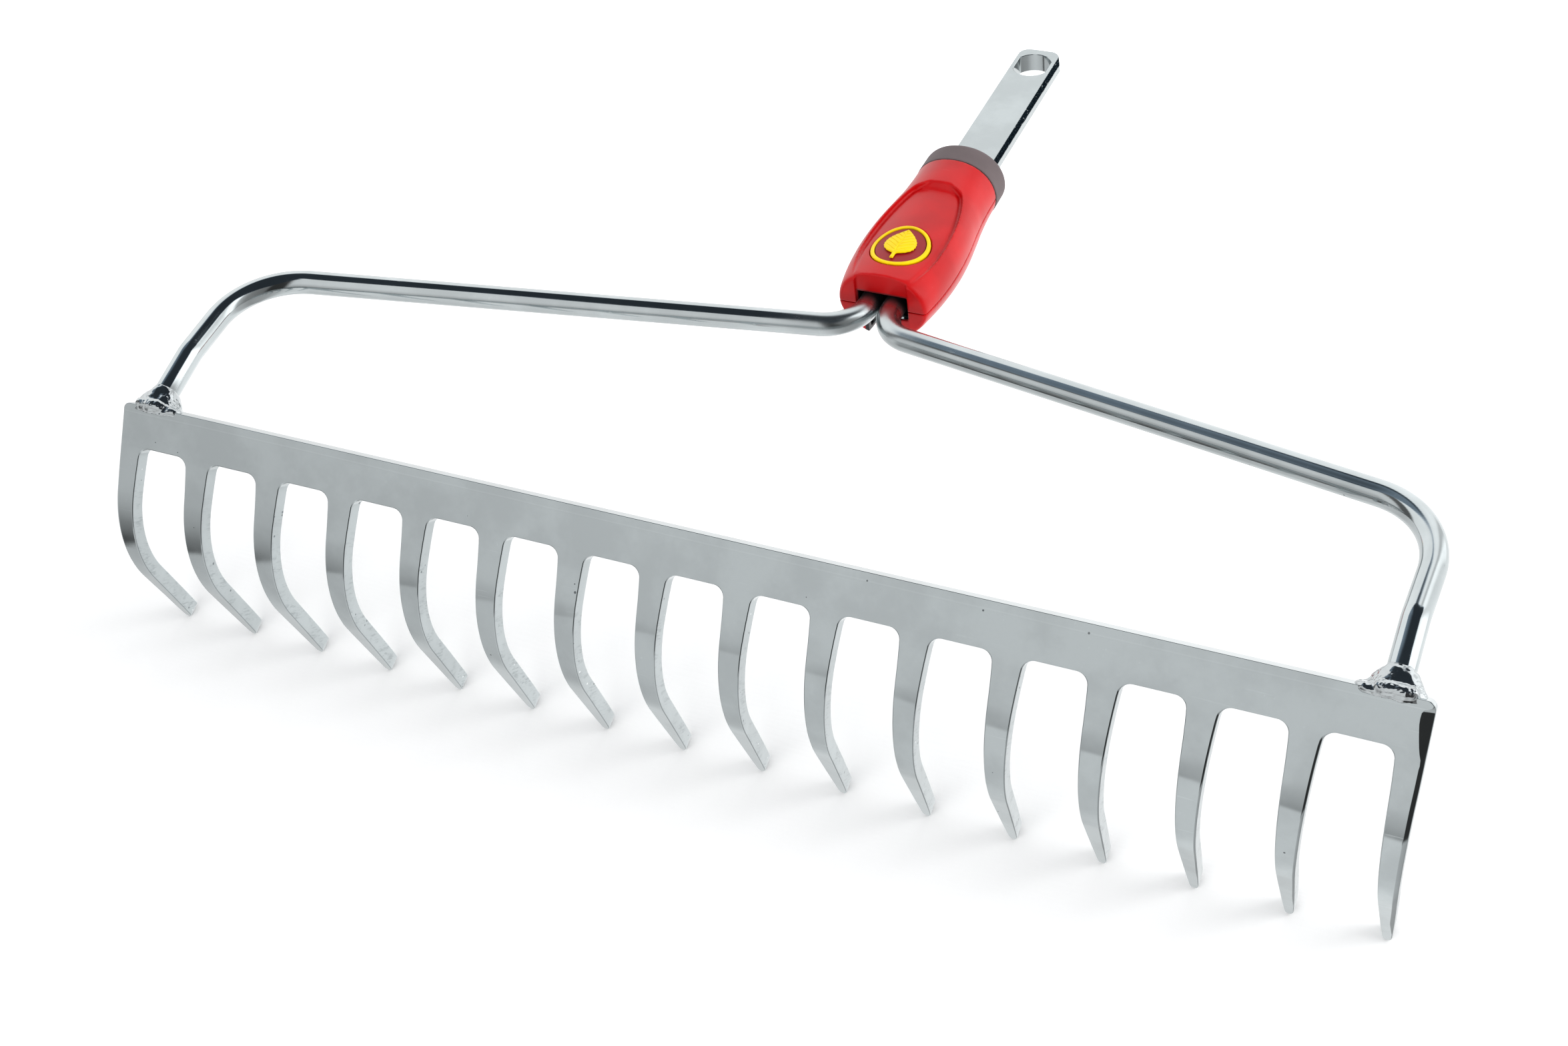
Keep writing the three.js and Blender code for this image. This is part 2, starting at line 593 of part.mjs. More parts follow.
// welds inside the cover, in the handle frame
const insideWeld = (x, z, half, height, y0, y1, seed) => {
  const g = lump([half, (y1 - y0) / 2, height], seed, 3);
  g.translate(x, (y0 + y1) / 2, z);
  return g;
};

// ---------------------------------------------------------------- materials

const steel = new THREE.MeshStandardMaterial({ color: 0xb4bcbe, roughness: 0.22, metalness: 1.0 });
const rodSteel = new THREE.MeshStandardMaterial({ color: 0xc4cccd, roughness: 0.18, metalness: 1.0 });
const tangSteel = new THREE.MeshStandardMaterial({ color: 0xc8d1d3, roughness: 0.26, metalness: 1.0 });
const weldSteel = new THREE.MeshStandardMaterial({ color: 0xaab1b3, roughness: 0.3, metalness: 1.0 });
const red = new THREE.MeshStandardMaterial({ color: 0xd8141c, roughness: 0.38, metalness: 0.0 });
const grey = new THREE.MeshStandardMaterial({ color: 0x82787a, roughness: 0.6, metalness: 0.0 });
const darkRed = new THREE.MeshStandardMaterial({ color: 0xa51923, roughness: 0.45, metalness: 0.0 });
const yellow = new THREE.MeshStandardMaterial({ color: 0xffe600, roughness: 0.4, metalness: 0.0 });
const screwSteel = new THREE.MeshStandardMaterial({ color: 0x9aa0a2, roughness: 0.35, metalness: 1.0 });

// ---------------------------------------------------------------- assembly

const mesh = (name, geometry, material, parent) => {
  const g = geometry.index ? geometry.clone() : geometry;
  g.deleteAttribute('uv');
  const m = new THREE.Mesh(g, material);
  m.name = name;
  parent.add(m);
  return m;
};

const head = new THREE.Group();          // holds the blade frame at rest
const handle = new THREE.Group();        // handle frame
handle.rotation.x = rad(HANDLE_SLOPE);
handle.position.set(...HANDLE_AT);
head.add(handle);

mesh('rake_blade', bladeGeometry(), steel, head);
mesh('bow_rod_left', rodLeft, rodSteel, head);
mesh('bow_rod_right', rodRight, rodSteel, head);
mesh('blade_weld_left', bladeWeld(-1), weldSteel, head);
mesh('blade_weld_right', bladeWeld(1), weldSteel, head);

mesh('tang', toGeometry(tangSolid()), tangSteel, handle);

const tangKeep = box(-TANG_W / 2 - CLEAR, TANG_W / 2 + CLEAR, -180, STEP_TO, -STEP - STEP_T - CLEAR, -STEP + CLEAR);
const keepIn = box(-9.9, 9.9, -180, -120, -14, 5.4);
for (const [name, side] of [['rod_weld_left', -1], ['rod_weld_right', 1]]) {
  const g = insideWeld(side * 8.6, -8.2, 2.6, 2.6, -156, -139, side * 0.9);
  mesh(name, toGeometry(toSolid(g).intersect(keepIn).subtract(tangKeep).subtract(rodCutsHandle)), weldSteel, handle);
}
{
  const g = insideWeld(0, 0.6, 2.7, 1.7, -156, -139, 0.4);
  mesh('rod_seam_weld', toGeometry(toSolid(g).intersect(keepIn).subtract(rodCutsHandle)), weldSteel, handle);
}

const [upperShell, lowerShell] = covers();
mesh('housing_upper_shell', upperShell, red, handle);
mesh('housing_lower_shell', lowerShell, red, handle);
mesh('end_collar', collarGeometry(), grey, handle);

mesh('emblem_base', onPanel(BADGE_A - 1.65, BADGE_B - 1.65, 0.75, 0.02), darkRed, handle);
mesh('emblem_ring', onPanel(BADGE_A, BADGE_B, 0.75, 0.5, 1.35), yellow, handle);
mesh('emblem_motif', leafGeometry(), yellow, handle);

for (const [name, i] of [['housing_screw_rear', 0], ['housing_screw_right', 1], ['housing_screw_left', 2]]) {
  const [x, y, seat, top] = screwPlaces[i];
  const base = seat - CLEAR - 2.0;
  mesh(name, toGeometry(screwGeometry(top - base)), screwSteel, handle).position.set(x, y, base);
}

// ---------------------------------------------------------------- rest attitude

// the plane that touches the points of the tines and the lower edge of the tang's end
const tip = plate(0, TINE_LENGTH, 0);
const heel = inBlade(0, 0, -TANG_T);
const REST_TILT = Math.atan2(heel.z - tip[2], heel.y - tip[1]);

const rake = new THREE.Group();
rake.add(head);
head.rotation.x = -REST_TILT;
head.updateMatrixWorld(true);
const bounds = new THREE.Box3().setFromObject(head, true);
head.position.set(0, -(bounds.min.y + bounds.max.y) / 2, -bounds.min.z);
rake.updateMatrixWorld(true);

export default rake;
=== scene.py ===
import math

import bmesh
import bpy
import numpy as np
from mathutils import Matrix, Vector, noise
from mathutils.geometry import tessellate_polygon


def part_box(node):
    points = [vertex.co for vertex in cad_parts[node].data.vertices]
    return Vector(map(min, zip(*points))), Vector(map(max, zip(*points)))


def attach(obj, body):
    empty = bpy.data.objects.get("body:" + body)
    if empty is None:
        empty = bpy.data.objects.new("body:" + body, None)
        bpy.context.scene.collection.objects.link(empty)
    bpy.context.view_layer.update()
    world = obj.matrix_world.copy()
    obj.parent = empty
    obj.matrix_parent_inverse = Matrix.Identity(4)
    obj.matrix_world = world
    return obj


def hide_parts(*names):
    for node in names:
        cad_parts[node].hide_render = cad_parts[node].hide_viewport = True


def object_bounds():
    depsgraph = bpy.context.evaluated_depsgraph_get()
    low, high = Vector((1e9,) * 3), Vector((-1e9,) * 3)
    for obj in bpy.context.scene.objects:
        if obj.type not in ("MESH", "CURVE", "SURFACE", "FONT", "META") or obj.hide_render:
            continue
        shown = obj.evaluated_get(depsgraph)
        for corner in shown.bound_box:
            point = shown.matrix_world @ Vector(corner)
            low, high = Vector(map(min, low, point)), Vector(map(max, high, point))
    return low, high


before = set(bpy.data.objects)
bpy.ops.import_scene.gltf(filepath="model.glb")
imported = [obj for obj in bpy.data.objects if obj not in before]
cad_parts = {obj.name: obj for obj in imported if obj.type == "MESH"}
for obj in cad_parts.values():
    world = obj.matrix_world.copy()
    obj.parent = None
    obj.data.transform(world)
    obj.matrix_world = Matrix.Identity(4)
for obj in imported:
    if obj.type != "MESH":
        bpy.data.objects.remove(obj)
cad_lo, cad_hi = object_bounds()
scene = bpy.context.scene

# ------------------------------------------------------------------ frames (millimetres inside, metres out)

SLOPE = math.radians(34.06)
HANDLE_AT = np.array([0.0, 256.7, 156.6])
CS, SN = math.cos(SLOPE), math.sin(SLOPE)

WEB, SHEET, TINE_LENGTH = 13.9, 5.1, 81.7
BEND_START, BEND_END, BEND_ANGLE = 14.9, 52.1, math.radians(53.4)
BEND_R = (BEND_END - BEND_START) / BEND_ANGLE
TINES, PITCH, BLADE_HALF = 16, 27.5, 209.5


def in_blade(p):
    """handle frame to blade frame"""
    p = np.atleast_2d(np.asarray(p, float))
    return np.stack([p[:, 0], HANDLE_AT[1] + p[:, 1] * CS - p[:, 2] * SN, HANDLE_AT[2] + p[:, 1] * SN + p[:, 2] * CS], 1)


def plate(x, s, d):
    """point of the plate at distance s below the slot roots and depth d behind the outer face"""
    x, s, d = np.broadcast_arrays(np.asarray(x, float), np.asarray(s, float), np.asarray(d, float))
    f = BEND_ANGLE * np.clip((s - BEND_START) / (BEND_END - BEND_START), 0, 1)
    y = np.where(s > BEND_START, BEND_R * (1 - np.cos(f)), 0.0)
    z = np.where(s > BEND_START, -WEB - BEND_START - BEND_R * np.sin(f), -WEB - s)
    far = np.maximum(s - BEND_END, 0)
    y = y + far * np.sin(f) + d * np.cos(f)
    z = z - far * np.cos(f) + d * np.sin(f)
    return np.stack([x, y, z], -1)


_tip = plate(0, TINE_LENGTH, 0)
_heel = in_blade([0, 0, -7])[0]
TILT = math.atan2(_heel[2] - _tip[2], _heel[1] - _tip[1])
CT, ST = math.cos(TILT), math.sin(TILT)


def turned(p):
    p = np.atleast_2d(np.asarray(p, float))
    return np.stack([p[:, 0], p[:, 1] * CT + p[:, 2] * ST, -p[:, 1] * ST + p[:, 2] * CT], 1)


_tang_lo, _tang_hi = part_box("tang")
SHIFT = np.array([0.0, _tang_hi[1] * 1000 - turned(in_blade([0, 0, 0]))[0][1], -turned([_heel])[0][2]])


def blade_m(p):
    return (turned(p) + SHIFT) / 1000


def handle_m(p):
    return blade_m(in_blade(p))


# ------------------------------------------------------------------ camera

cam_data = bpy.data.cameras.new("camera")
cam_data.lens = 50.0283
cam_data.sensor_width = 36.0
cam_data.sensor_fit = "HORIZONTAL"
cam_data.clip_start, cam_data.clip_end = 0.01, 50
cam = bpy.data.objects.new("camera", cam_data)
scene.collection.objects.link(cam)
VIEW = np.array([[0.90924962, 0.39192247, 0.1402209], [0.20393162, -0.12575934, -0.97087408], [-0.36287328, 0.91136237, -0.19427202]])
TURN = np.array([[1, 0, 0], [0, CT, ST], [0, -ST, CT]])
cam_rot = (np.diag([1, -1, -1]) @ VIEW @ TURN.T).T
cam_at = blade_m([250.22204597, -565.74318089, 129.13691126])[0]
m = Matrix([[*cam_rot[i], cam_at[i]] for i in range(3)] + [[0, 0, 0, 1]])
cam.matrix_world = m
scene.camera = cam
scene.view_settings.view_transform = "Standard"
scene.view_settings.look = "None"

# ------------------------------------------------------------------ surroundings


class Net:
    """short hand for building node trees"""

    def __init__(self, tree):
        self.t = tree
        tree.nodes.clear()

    def new(self, kind, **values):
        n = self.t.nodes.new(kind)
        for k, v in values.items():
            setattr(n, k, v)
        return n

    def join(self, a, b):
        self.t.links.new(a, b)

    def put(self, socket, value):
        if isinstance(value, bpy.types.NodeSocket):
            self.join(value, socket)
        else:
            socket.default_value = value

    def math(self, op, a, b=0.0, c=0.0, clamp=False):
        n = self.new("ShaderNodeMath", operation=op, use_clamp=clamp)
        self.put(n.inputs[0], a)
        self.put(n.inputs[1], b)
        self.put(n.inputs[2], c)
        return n.outputs[0]

    def step(self, x, a, b, lo=0.0, hi=1.0):
        n = self.new("ShaderNodeMapRange", interpolation_type="SMOOTHSTEP", clamp=True)
        for i, v in enumerate((x, a, b, lo, hi)):
            self.put(n.inputs[i], v)
        return n.outputs[0]

    def mix(self, f, a, b):
        n = self.new("ShaderNodeMix", data_type="FLOAT", clamp_factor=True)
        self.put(n.inputs[0], f)
        self.put(n.inputs[2], a)
        self.put(n.inputs[3], b)
        return n.outputs[0]

    def colour(self, f, a, b, mode="MIX"):
        n = self.new("ShaderNodeMix", data_type="RGBA", clamp_factor=True, blend_type=mode)
        self.put(n.inputs[0], f)
        self.put(n.inputs[6], a)
        self.put(n.inputs[7], b)
        return n.outputs[2]

    def ramp(self, x, stops, smooth=False):
        n = self.new("ShaderNodeValToRGB")
        r = n.color_ramp
        r.interpolation = "EASE" if smooth else "LINEAR"
        while len(r.elements) > 1:
            r.elements.remove(r.elements[-1])
        r.elements[0].position = stops[0][0]
        first = stops[0][1]
        r.elements[0].color = (first, first, first, 1) if np.isscalar(first) else (*first, 1)
        for p, v in stops[1:]:
            e = r.elements.new(p)
            e.color = (v, v, v, 1) if np.isscalar(v) else (*v, 1)
        self.put(n.inputs[0], x)
        return n.outputs[0]

    def noise(self, vec, scale, detail=3.0, rough=0.5, distort=0.0):
        n = self.new("ShaderNodeTexNoise", noise_dimensions="3D")
        self.put(n.inputs["Vector"], vec)
        n.inputs["Scale"].default_value = scale
        n.inputs["Detail"].default_value = detail
        n.inputs["Roughness"].default_value = rough
        n.inputs["Distortion"].default_value = distort
        return n.outputs["Fac"]

    def scaled(self, vec, s, rot=(0, 0, 0), loc=(0, 0, 0)):
        n = self.new("ShaderNodeMapping")
        self.put(n.inputs["Vector"], vec)
        n.inputs["Location"].default_value = loc
        n.inputs["Rotation"].default_value = rot
        n.inputs["Scale"].default_value = s
        return n.outputs[0]


world = bpy.data.worlds.new("studio")
scene.world = world
world.use_nodes = True
w = Net(world.node_tree)
coord = w.new("ShaderNodeTexCoord").outputs["Generated"]
sep = w.new("ShaderNodeSeparateXYZ")
w.join(coord, sep.inputs[0])
X, Y, Z = sep.outputs
azimuth = w.math("ARCTAN2", X, Y)                                   # from +Y towards +X
az = w.math("MULTIPLY_ADD", azimuth, 1 / (2 * math.pi), 0.5)        # 0 to 1 for -180 to 180
el = w.math("MULTIPLY", w.math("ARCSINE", Z), 180 / math.pi)


def A(deg):
    return (deg + 180) / 360


# radiance of the band round the horizon, as a fraction of 2.5
band = w.ramp(az, [(A(a), v / 2.5) for a, v in [
    (-180, 1.05), (-150, 1.05), (-142, 1.0), (-120, .95), (-108, .88), (-102, .16), (-88, .16), (-82, 1.3), (-52, 1.4),
    (-40, 1.32), (-18, 1.35), (0, 1.5), (12, 1.4), (18, .9), (24, .9), (32, 1.85), (41, 1.7), (47, 1.2), (53, 1.3), (60, 2.1),
    (71, 2.1), (78, .7), (92, .35), (118, .25), (124, .05), (146, .05), (154, .95), (180, 1.05)]])
band = w.math("MULTIPLY", band, 2.5)
# height at which the dark ceiling starts, in degrees
edge = w.ramp(az, [(A(a), v / 90) for a, v in [
    (-180, 84), (-161, 82), (-150, 70), (-138, 55), (-119, 47), (-100, 44), (-81, 39), (-60, 36), (-20, 36), (0, 45), (20, 45),
    (38, 33), (45, 35), (55, 47), (75, 46), (120, 45), (152, 70), (180, 84)]])
edge = w.math("MULTIPLY", edge, 90.0)
roof = w.step(w.math("SUBTRACT", el, edge), -2.0, 2.0)
# behind the camera the wall darkens towards the horizon
behind = w.ramp(az, [(A(a), v) for a, v in [(-180, 1), (-130, 1), (-119, 0), (140, 0), (155, 1), (180, 1)]])
low = w.ramp(w.math("MULTIPLY_ADD", el, 1 / 180, 0.5), [((e + 90) / 180, v) for e, v in [
    (-26, .05), (-16, .15), (-9, .28), (-2, .37), (5, .52), (13, .67), (21, .77), (29, .92), (40, 1.0)]])
band = w.math("MULTIPLY", band, w.mix(behind, 1.0, low))
lit = w.ramp(az, [(A(a), v) for a, v in [(-112, 0), (-98, 1), (-42, 1), (-30, 0)]])
ceiling = w.mix(lit, 0.045, w.step(el, 64.0, 42.0, 0.05, 0.30))
sky = w.mix(roof, band, ceiling)
# the table: the height of its far edge
rim = w.ramp(az, [(A(a), (v + 30) / 60) for a, v in [
    (-180, 1), (-176, 2), (-170, 10), (-165, 11), (-160, 18), (-155, 17), (-151, 9), (-148, 1), (-146, -5), (-144, -12.5),
    (-137, -26), (-120, -22), (-110, -12), (-90, -6), (0, -6), (25, -12), (60, -12), (110, -10), (160, -4), (180, 1)]])
rim = w.math("MULTIPLY_ADD", rim, 60.0, -30.0)
table_here = w.step(w.math("SUBTRACT", el, rim), 1.6, -1.6)
table = w.ramp(az, [(A(a), v / 2.5) for a, v in [
    (-180, 1.1), (-165, 1.0), (-155, .93), (-150, .85), (-140, .80), (-125, .88), (-110, .82), (-100, .80), (-80, 1.0),
    (-50, 1.05), (-40, 1.1), (-25, 1.25), (-12, 1.38), (0, 1.45), (8, 1.4), (30, 1.3), (62, 1.35), (78, .8), (100, .5), (135, .6), (160, 1.0), (180, 1.1)]])
table = w.math("MULTIPLY", table, 2.5)
steep = w.step(el, -45.0, -66.0)
table = w.math("MULTIPLY", table, w.mix(w.math("MULTIPLY", steep, w.step(az, A(-60), A(-90))), 1.0, 1.2))
amount = w.mix(table_here, sky, table)
tint = w.colour(w.math("MULTIPLY", roof, w.math("SUBTRACT", 1.0, table_here)), (1.0, 1.0, 1.0, 1), (0.78, 0.98, 1.2, 1))
is_cam = w.new("ShaderNodeLightPath").outputs["Is Camera Ray"]
bg = w.new("ShaderNodeBackground")
w.join(w.colour(is_cam, tint, (1, 1, 1, 1)), bg.inputs["Color"])
w.join(w.mix(is_cam, amount, 1.05), bg.inputs["Strength"])
out = w.new("ShaderNodeOutputWorld")
w.join(bg.outputs[0], out.inputs["Surface"])


def area(name, at, target, size, power, colour=(1, 1, 1)):
    d = bpy.data.lights.new(name, "AREA")
    d.shape = "RECTANGLE"
    d.size, d.size_y = size
    d.energy = power
    d.color = colour
    o = bpy.data.objects.new(name, d)
    scene.collection.objects.link(o)
    o.location = at
    o.rotation_mode = "QUATERNION"
    o.rotation_quaternion = (Vector(target) - Vector(at)).to_track_quat("-Z", "Y")
    o.visible_glossy = False
    o.visible_camera = False
    return o


area("overhead", (0.12, 0.25, 1.4), (0, 0.1, 0), (2.4, 2.0), 14.0)
area("right", (1.4, 0.2, 0.7), (0, 0.1, 0.05), (1.0, 0.8), 13.0)
area("front", (-0.2, -1.3, 0.5), (0, 0.1, 0.05), (1.4, 0.6), 8.0)

# ------------------------------------------------------------------ mesh helpers


def hermite(rows, s, column=1):
    """smooth curve through a table, without overshoot"""
    xs = np.array([r[0] for r in rows], float)
    ys = np.array([r[column] for r in rows], float)
    h = np.diff(xs)
    g = np.diff(ys) / h
    m = np.zeros(len(xs))
    m[0], m[-1] = g[0], g[-1]
    for i in range(1, len(xs) - 1):
        if g[i - 1] * g[i] > 0:
            w1, w2 = 2 * h[i] + h[i - 1], h[i] + 2 * h[i - 1]
            m[i] = (w1 + w2) / (w1 / g[i - 1] + w2 / g[i])
    s = np.clip(np.asarray(s, float), xs[0], xs[-1])
    k = np.clip(np.searchsorted(xs, s, side="right") - 1, 0, len(h) - 1)
    t = (s - xs[k]) / h[k]
    return ((2 * t**3 - 3 * t**2 + 1) * ys[k] + (t**3 - 2 * t**2 + t) * h[k] * m[k]
            + (-2 * t**3 + 3 * t**2) * ys[k + 1] + (t**3 - t**2) * h[k] * m[k + 1])


def make(name, points, faces, place=blade_m):
    me = bpy.data.meshes.new(name)
    me.from_pydata([tuple(p) for p in place(np.asarray(points, float))], [], [tuple(int(i) for i in f) for f in faces])
    me.validate()
    bm = bmesh.new()
    bm.from_mesh(me)
    bmesh.ops.recalc_face_normals(bm, faces=bm.faces)
    if bm.calc_volume(signed=True) < 0:
        bmesh.ops.reverse_faces(bm, faces=bm.faces)
    bm.to_mesh(me)
    bm.free()
    me.shade_smooth()
    ob = bpy.data.objects.new(name, me)
    scene.collection.objects.link(ob)
    return ob


def loft(rings, closed_caps=True):
    """closed surface through rings of equal length; the caps are fans round a middle point"""
    rings = [np.asarray(r, float) for r in rings]
    n = len(rings[0])
    pts = np.concatenate(rings)
    faces = []
    for i in range(len(rings) - 1):
        for j in range(n):
            k = (j + 1) % n
            faces.append((i * n + j, i * n + k, (i + 1) * n + k, (i + 1) * n + j))
    if closed_caps:
        mids = np.array([rings[0].mean(0), rings[-1].mean(0)])
        a = len(pts)
        pts = np.concatenate([pts, mids])
        last = (len(rings) - 1) * n
        for j in range(n):
            k = (j + 1) % n
            faces.append((a, k, j))
            faces.append((a + 1, last + j, last + k))
    return pts, faces


def baked(ob):
    """the object with its modifiers applied"""
    dg = bpy.context.evaluated_depsgraph_get()
    me = bpy.data.meshes.new_from_object(ob.evaluated_get(dg))
    ob.modifiers.clear()
    old = ob.data
    ob.data = me
    bpy.data.meshes.remove(old)
    return ob


def cut(ob, *others, op="DIFFERENCE"):
    for other in others:
        b = ob.modifiers.new("cut", "BOOLEAN")
        b.operation = op
        b.solver = "EXACT"
        b.object = other
        baked(ob)
        me = other.data
        bpy.data.objects.remove(other)
        bpy.data.meshes.remove(me)
    return ob


def steady(ob, weight=100):
    n = ob.modifiers.new("normals", "WEIGHTED_NORMAL")
    n.mode = "FACE_AREA"
    n.weight = weight
    n.keep_sharp = True
    return ob


def cuboid(name, x0, x1, y0, y1, z0, z1, place=None):
    p = [(x, y, z) for x in (x0, x1) for y in (y0, y1) for z in (z0, z1)]
    f = [(0, 1, 3, 2), (4, 6, 7, 5), (0, 4, 5, 1), (2, 3, 7, 6), (0, 2, 6, 4), (1, 5, 7, 3)]
    return make(name, p, f, place or handle_m)


def cylinder(name, x, y, z0, z1, r, sides=48):
    a = np.arange(sides) / sides * 2 * math.pi
    rings = [np.stack([x + r * np.cos(a), y + r * np.sin(a), np.full(sides, z)], 1) for z in (z0, z1)]
    return make(name, *loft(rings), handle_m)


def soften(ob, voxel, rounds, edge_rounds=0, near=None):
    """one even skin over the whole solid, with its edges eased as moulded plastic has them"""
    r = ob.modifiers.new("skin", "REMESH")
    r.mode = "VOXEL"
    r.voxel_size = voxel
    r.adaptivity = 0.0
    baked(ob)
    me = ob.data
    n = len(me.vertices)
    co = np.empty(n * 3)
    me.vertices.foreach_get("co", co)
    co = co.reshape(-1, 3)
    e = np.empty(len(me.edges) * 2, np.int64)
    me.edges.foreach_get("vertices", e)
    e = e.reshape(-1, 2)
    deg = np.bincount(e.ravel(), minlength=n).astype(float)[:, None]

    def mean(c):
        acc = np.zeros_like(c)
        for k in range(3):
            acc[:, k] = np.bincount(e[:, 0], c[e[:, 1], k], minlength=n) + np.bincount(e[:, 1], c[e[:, 0], k], minlength=n)
        return acc / deg

    for _ in range(rounds):
        co += 0.6 * (mean(co) - co)
    if edge_rounds:
        weight = near(co)[:, None]
        for _ in range(edge_rounds):
            co += 0.6 * weight * (mean(co) - co)
    me.vertices.foreach_set("co", co.ravel())
    me.update()
    me.shade_smooth()
    return ob


def placed(ob, slot, *replaced):
    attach(ob, "root")
    if replaced:
        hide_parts(*replaced)
    return ob


# ------------------------------------------------------------------ blade

TINE_HALF = [[4.5, 4.28], [9.7, 3.95], [14.9, 3.72], [24.4, 3.42], [40.6, 2.94], [56.8, 2.44], [65, 2.12], [73, 1.78],
             [78.4, 1.5], [79.6, 1.41], [80.5, 1.26], [81.15, 1.0], [81.5, 0.72], [81.7, 0.4]]
END_HALF = [[4.5, 3.25], [9.7, 3.2], [14.9, 3.1], [24.4, 2.98], [40.6, 2.75], [56.8, 2.4], [65, 2.1], [73, 1.75],
            [78.4, 1.5], [79.6, 1.41], [80.5, 1.26], [81.15, 1.0], [81.5, 0.72], [81.7, 0.4]]


def build_blade():
    rows = np.unique(np.concatenate([np.arange(4.5, 14.9, 1.3), np.linspace(14.9, 52.1, 34), np.arange(54, 78.4, 2.0),
                                     [78.4, 79.0, 79.6, 80.1, 80.5, 80.85, 81.15, 81.35, 81.5, 81.62, 81.7]]))
    outline, web, strips = [], [], []

    def add(x, s, in_web=False):
        outline.append((x, s))
        if in_web:
            web.append(len(outline) - 1)
        return len(outline) - 1

    xe, cr = BLADE_HALF, 2.4
    for j in range(9):
        a = math.pi / 2 + j / 8 * math.pi / 2
        add(-xe + cr + cr * math.cos(a), -WEB + cr - cr * math.sin(a), True)
    for s in np.linspace(-10.4, 3.4, 10):
        add(-xe, s, True)
    for k in range(TINES):
        xc = (k - (TINES - 1) / 2) * PITCH
        lh = END_HALF if k == 0 else TINE_HALF
        rh = END_HALF if k == TINES - 1 else TINE_HALF
        left = [add(xc - float(hermite(lh, s)), s, i == 0) for i, s in enumerate(rows)]
        right = [None] * len(rows)
        for i in range(len(rows) - 1, -1, -1):
            right[i] = add(xc + float(hermite(rh, rows[i])), rows[i], i == 0)
        strips.append((left, right))
        if k < TINES - 1:
            x0, x1, rr = xc + 4.38, xc + PITCH - 4.38, 3.6
            for j in range(11):
                a = j / 10 * math.pi / 2
                add(x0 + rr * (1 - math.cos(a)), rr * (1 - math.sin(a)), True)
            for j in range(10, -1, -1):
                a = j / 10 * math.pi / 2
                add(x1 - rr * (1 - math.cos(a)), rr * (1 - math.sin(a)), True)
    for s in np.linspace(3.4, -10.4, 10):
        add(xe, s, True)
    for j in range(8, -1, -1):
        a = math.pi / 2 - j / 8 * math.pi / 2
        add(xe - cr + cr * math.cos(a), -WEB + cr - cr * math.sin(a), True)
    # the top edge, in pieces, so that it can be a little uneven
    for x in np.linspace(xe - cr, -xe + cr, 60)[1:-1]:
        add(x, -WEB, True)
    o = np.array(outline)
    n = len(o)
    prev, nxt = np.roll(o, 1, 0), np.roll(o, -1, 0)

    def unit(v):
        return v / np.maximum(np.linalg.norm(v, axis=1, keepdims=True), 1e-9)

    e1, e2 = unit(o - prev), unit(nxt - o)
    area2 = np.sum(o[:, 0] * nxt[:, 1] - nxt[:, 0] * o[:, 1])
    sign = 1.0 if area2 > 0 else -1.0
    n1 = sign * np.stack([e1[:, 1], -e1[:, 0]], 1)
    n2 = sign * np.stack([e2[:, 1], -e2[:, 0]], 1)
    out_n = unit(n1 + n2)
    out_n = out_n / np.maximum(np.sum(out_n * n1, 1, keepdims=True), 0.6)
    # the shear pulled the sheet over into facets: a long wide one on the right end, narrow ones on the other edges
    nx, ox, os_ = out_n[:, 0], o[:, 0], o[:, 1]
    side_on = np.clip(np.abs(nx), 0, 1) ** 3
    right_end = (ox > BLADE_HALF - 2.5) * (nx > 0)
    left_end = (ox < -BLADE_HALF + 2.5) * (nx < 0)
    lens = 3.3 * np.sqrt(np.clip((os_ + 13.4) / 3.2, 0, 1)) * np.sqrt(np.clip((3.2 - os_) / 11.0, 0, 1))
    facet = np.where(nx > 0, 0.1, 0.15) + 0.6 * np.clip((ox - 50) / 150, 0, 1) * (nx > 0)
    facet = np.where(left_end, 0.6, facet)
    facet = np.where(right_end, np.maximum(lens, 1.15 * np.clip((os_ + 2) / 6.0, 0, 1)), facet)
    facet = facet * side_on * np.clip((79 - os_) / 12, 0, 1) * np.clip((os_ + 13.4) / 2.0, 0, 1)
    fall = 0.43 * facet
    rf = np.where(o[:, 1] < -WEB + 0.1, 0.2, 0.34)
    tip = np.clip((TINE_LENGTH - o[:, 1]) / 1.5, 0, 1)
    rf = rf * (0.55 + 0.45 * tip)
    rb = np.full(n, 0.34) * (0.6 + 0.4 * tip)
    first_in = np.maximum(facet + 0.25 * np.clip(facet, 0, 1), rf)
    profile = [("top", 0), ("lip", 12)] + [("f", a) for a in (24, 40, 56, 73, 90)] + [("m", 0.3), ("m", 0.62)]
    profile += [("b", a) for a in np.linspace(90, 0, 5)]
    rings = []
    for kind, v in profile:
        q_sin, q_cos = 1 - math.sin(math.radians(v)), 1 - math.cos(math.radians(v))
        if kind == "top":
            inset, depth = first_in, np.zeros(n)
        elif kind == "lip":
            inset, depth = np.maximum(facet, rf * q_sin), rf * q_cos + 0.02 * facet
        elif kind == "f":
            inset, depth = rf * q_sin, fall + rf * q_cos
        elif kind == "m":
            inset, depth = np.zeros(n) + (0.0 if v < 0.5 else 0.05), np.full(n, SHEET * v)
            depth = np.maximum(depth, fall + rf + 0.1 + v)
        else:
            inset, depth = 0.06 + rb * q_sin, SHEET - rb * q_cos
        q = o - out_n * inset[:, None]
        rings.append(plate(q[:, 0], q[:, 1], depth))
    pts = np.concatenate(rings)
    faces = []
    m_rings = len(rings)
    for i in range(m_rings - 1):
        for j in range(n):
            k = (j + 1) % n
            faces.append((i * n + j, i * n + k, (i + 1) * n + k, (i + 1) * n + j))
    back = (m_rings - 1) * n
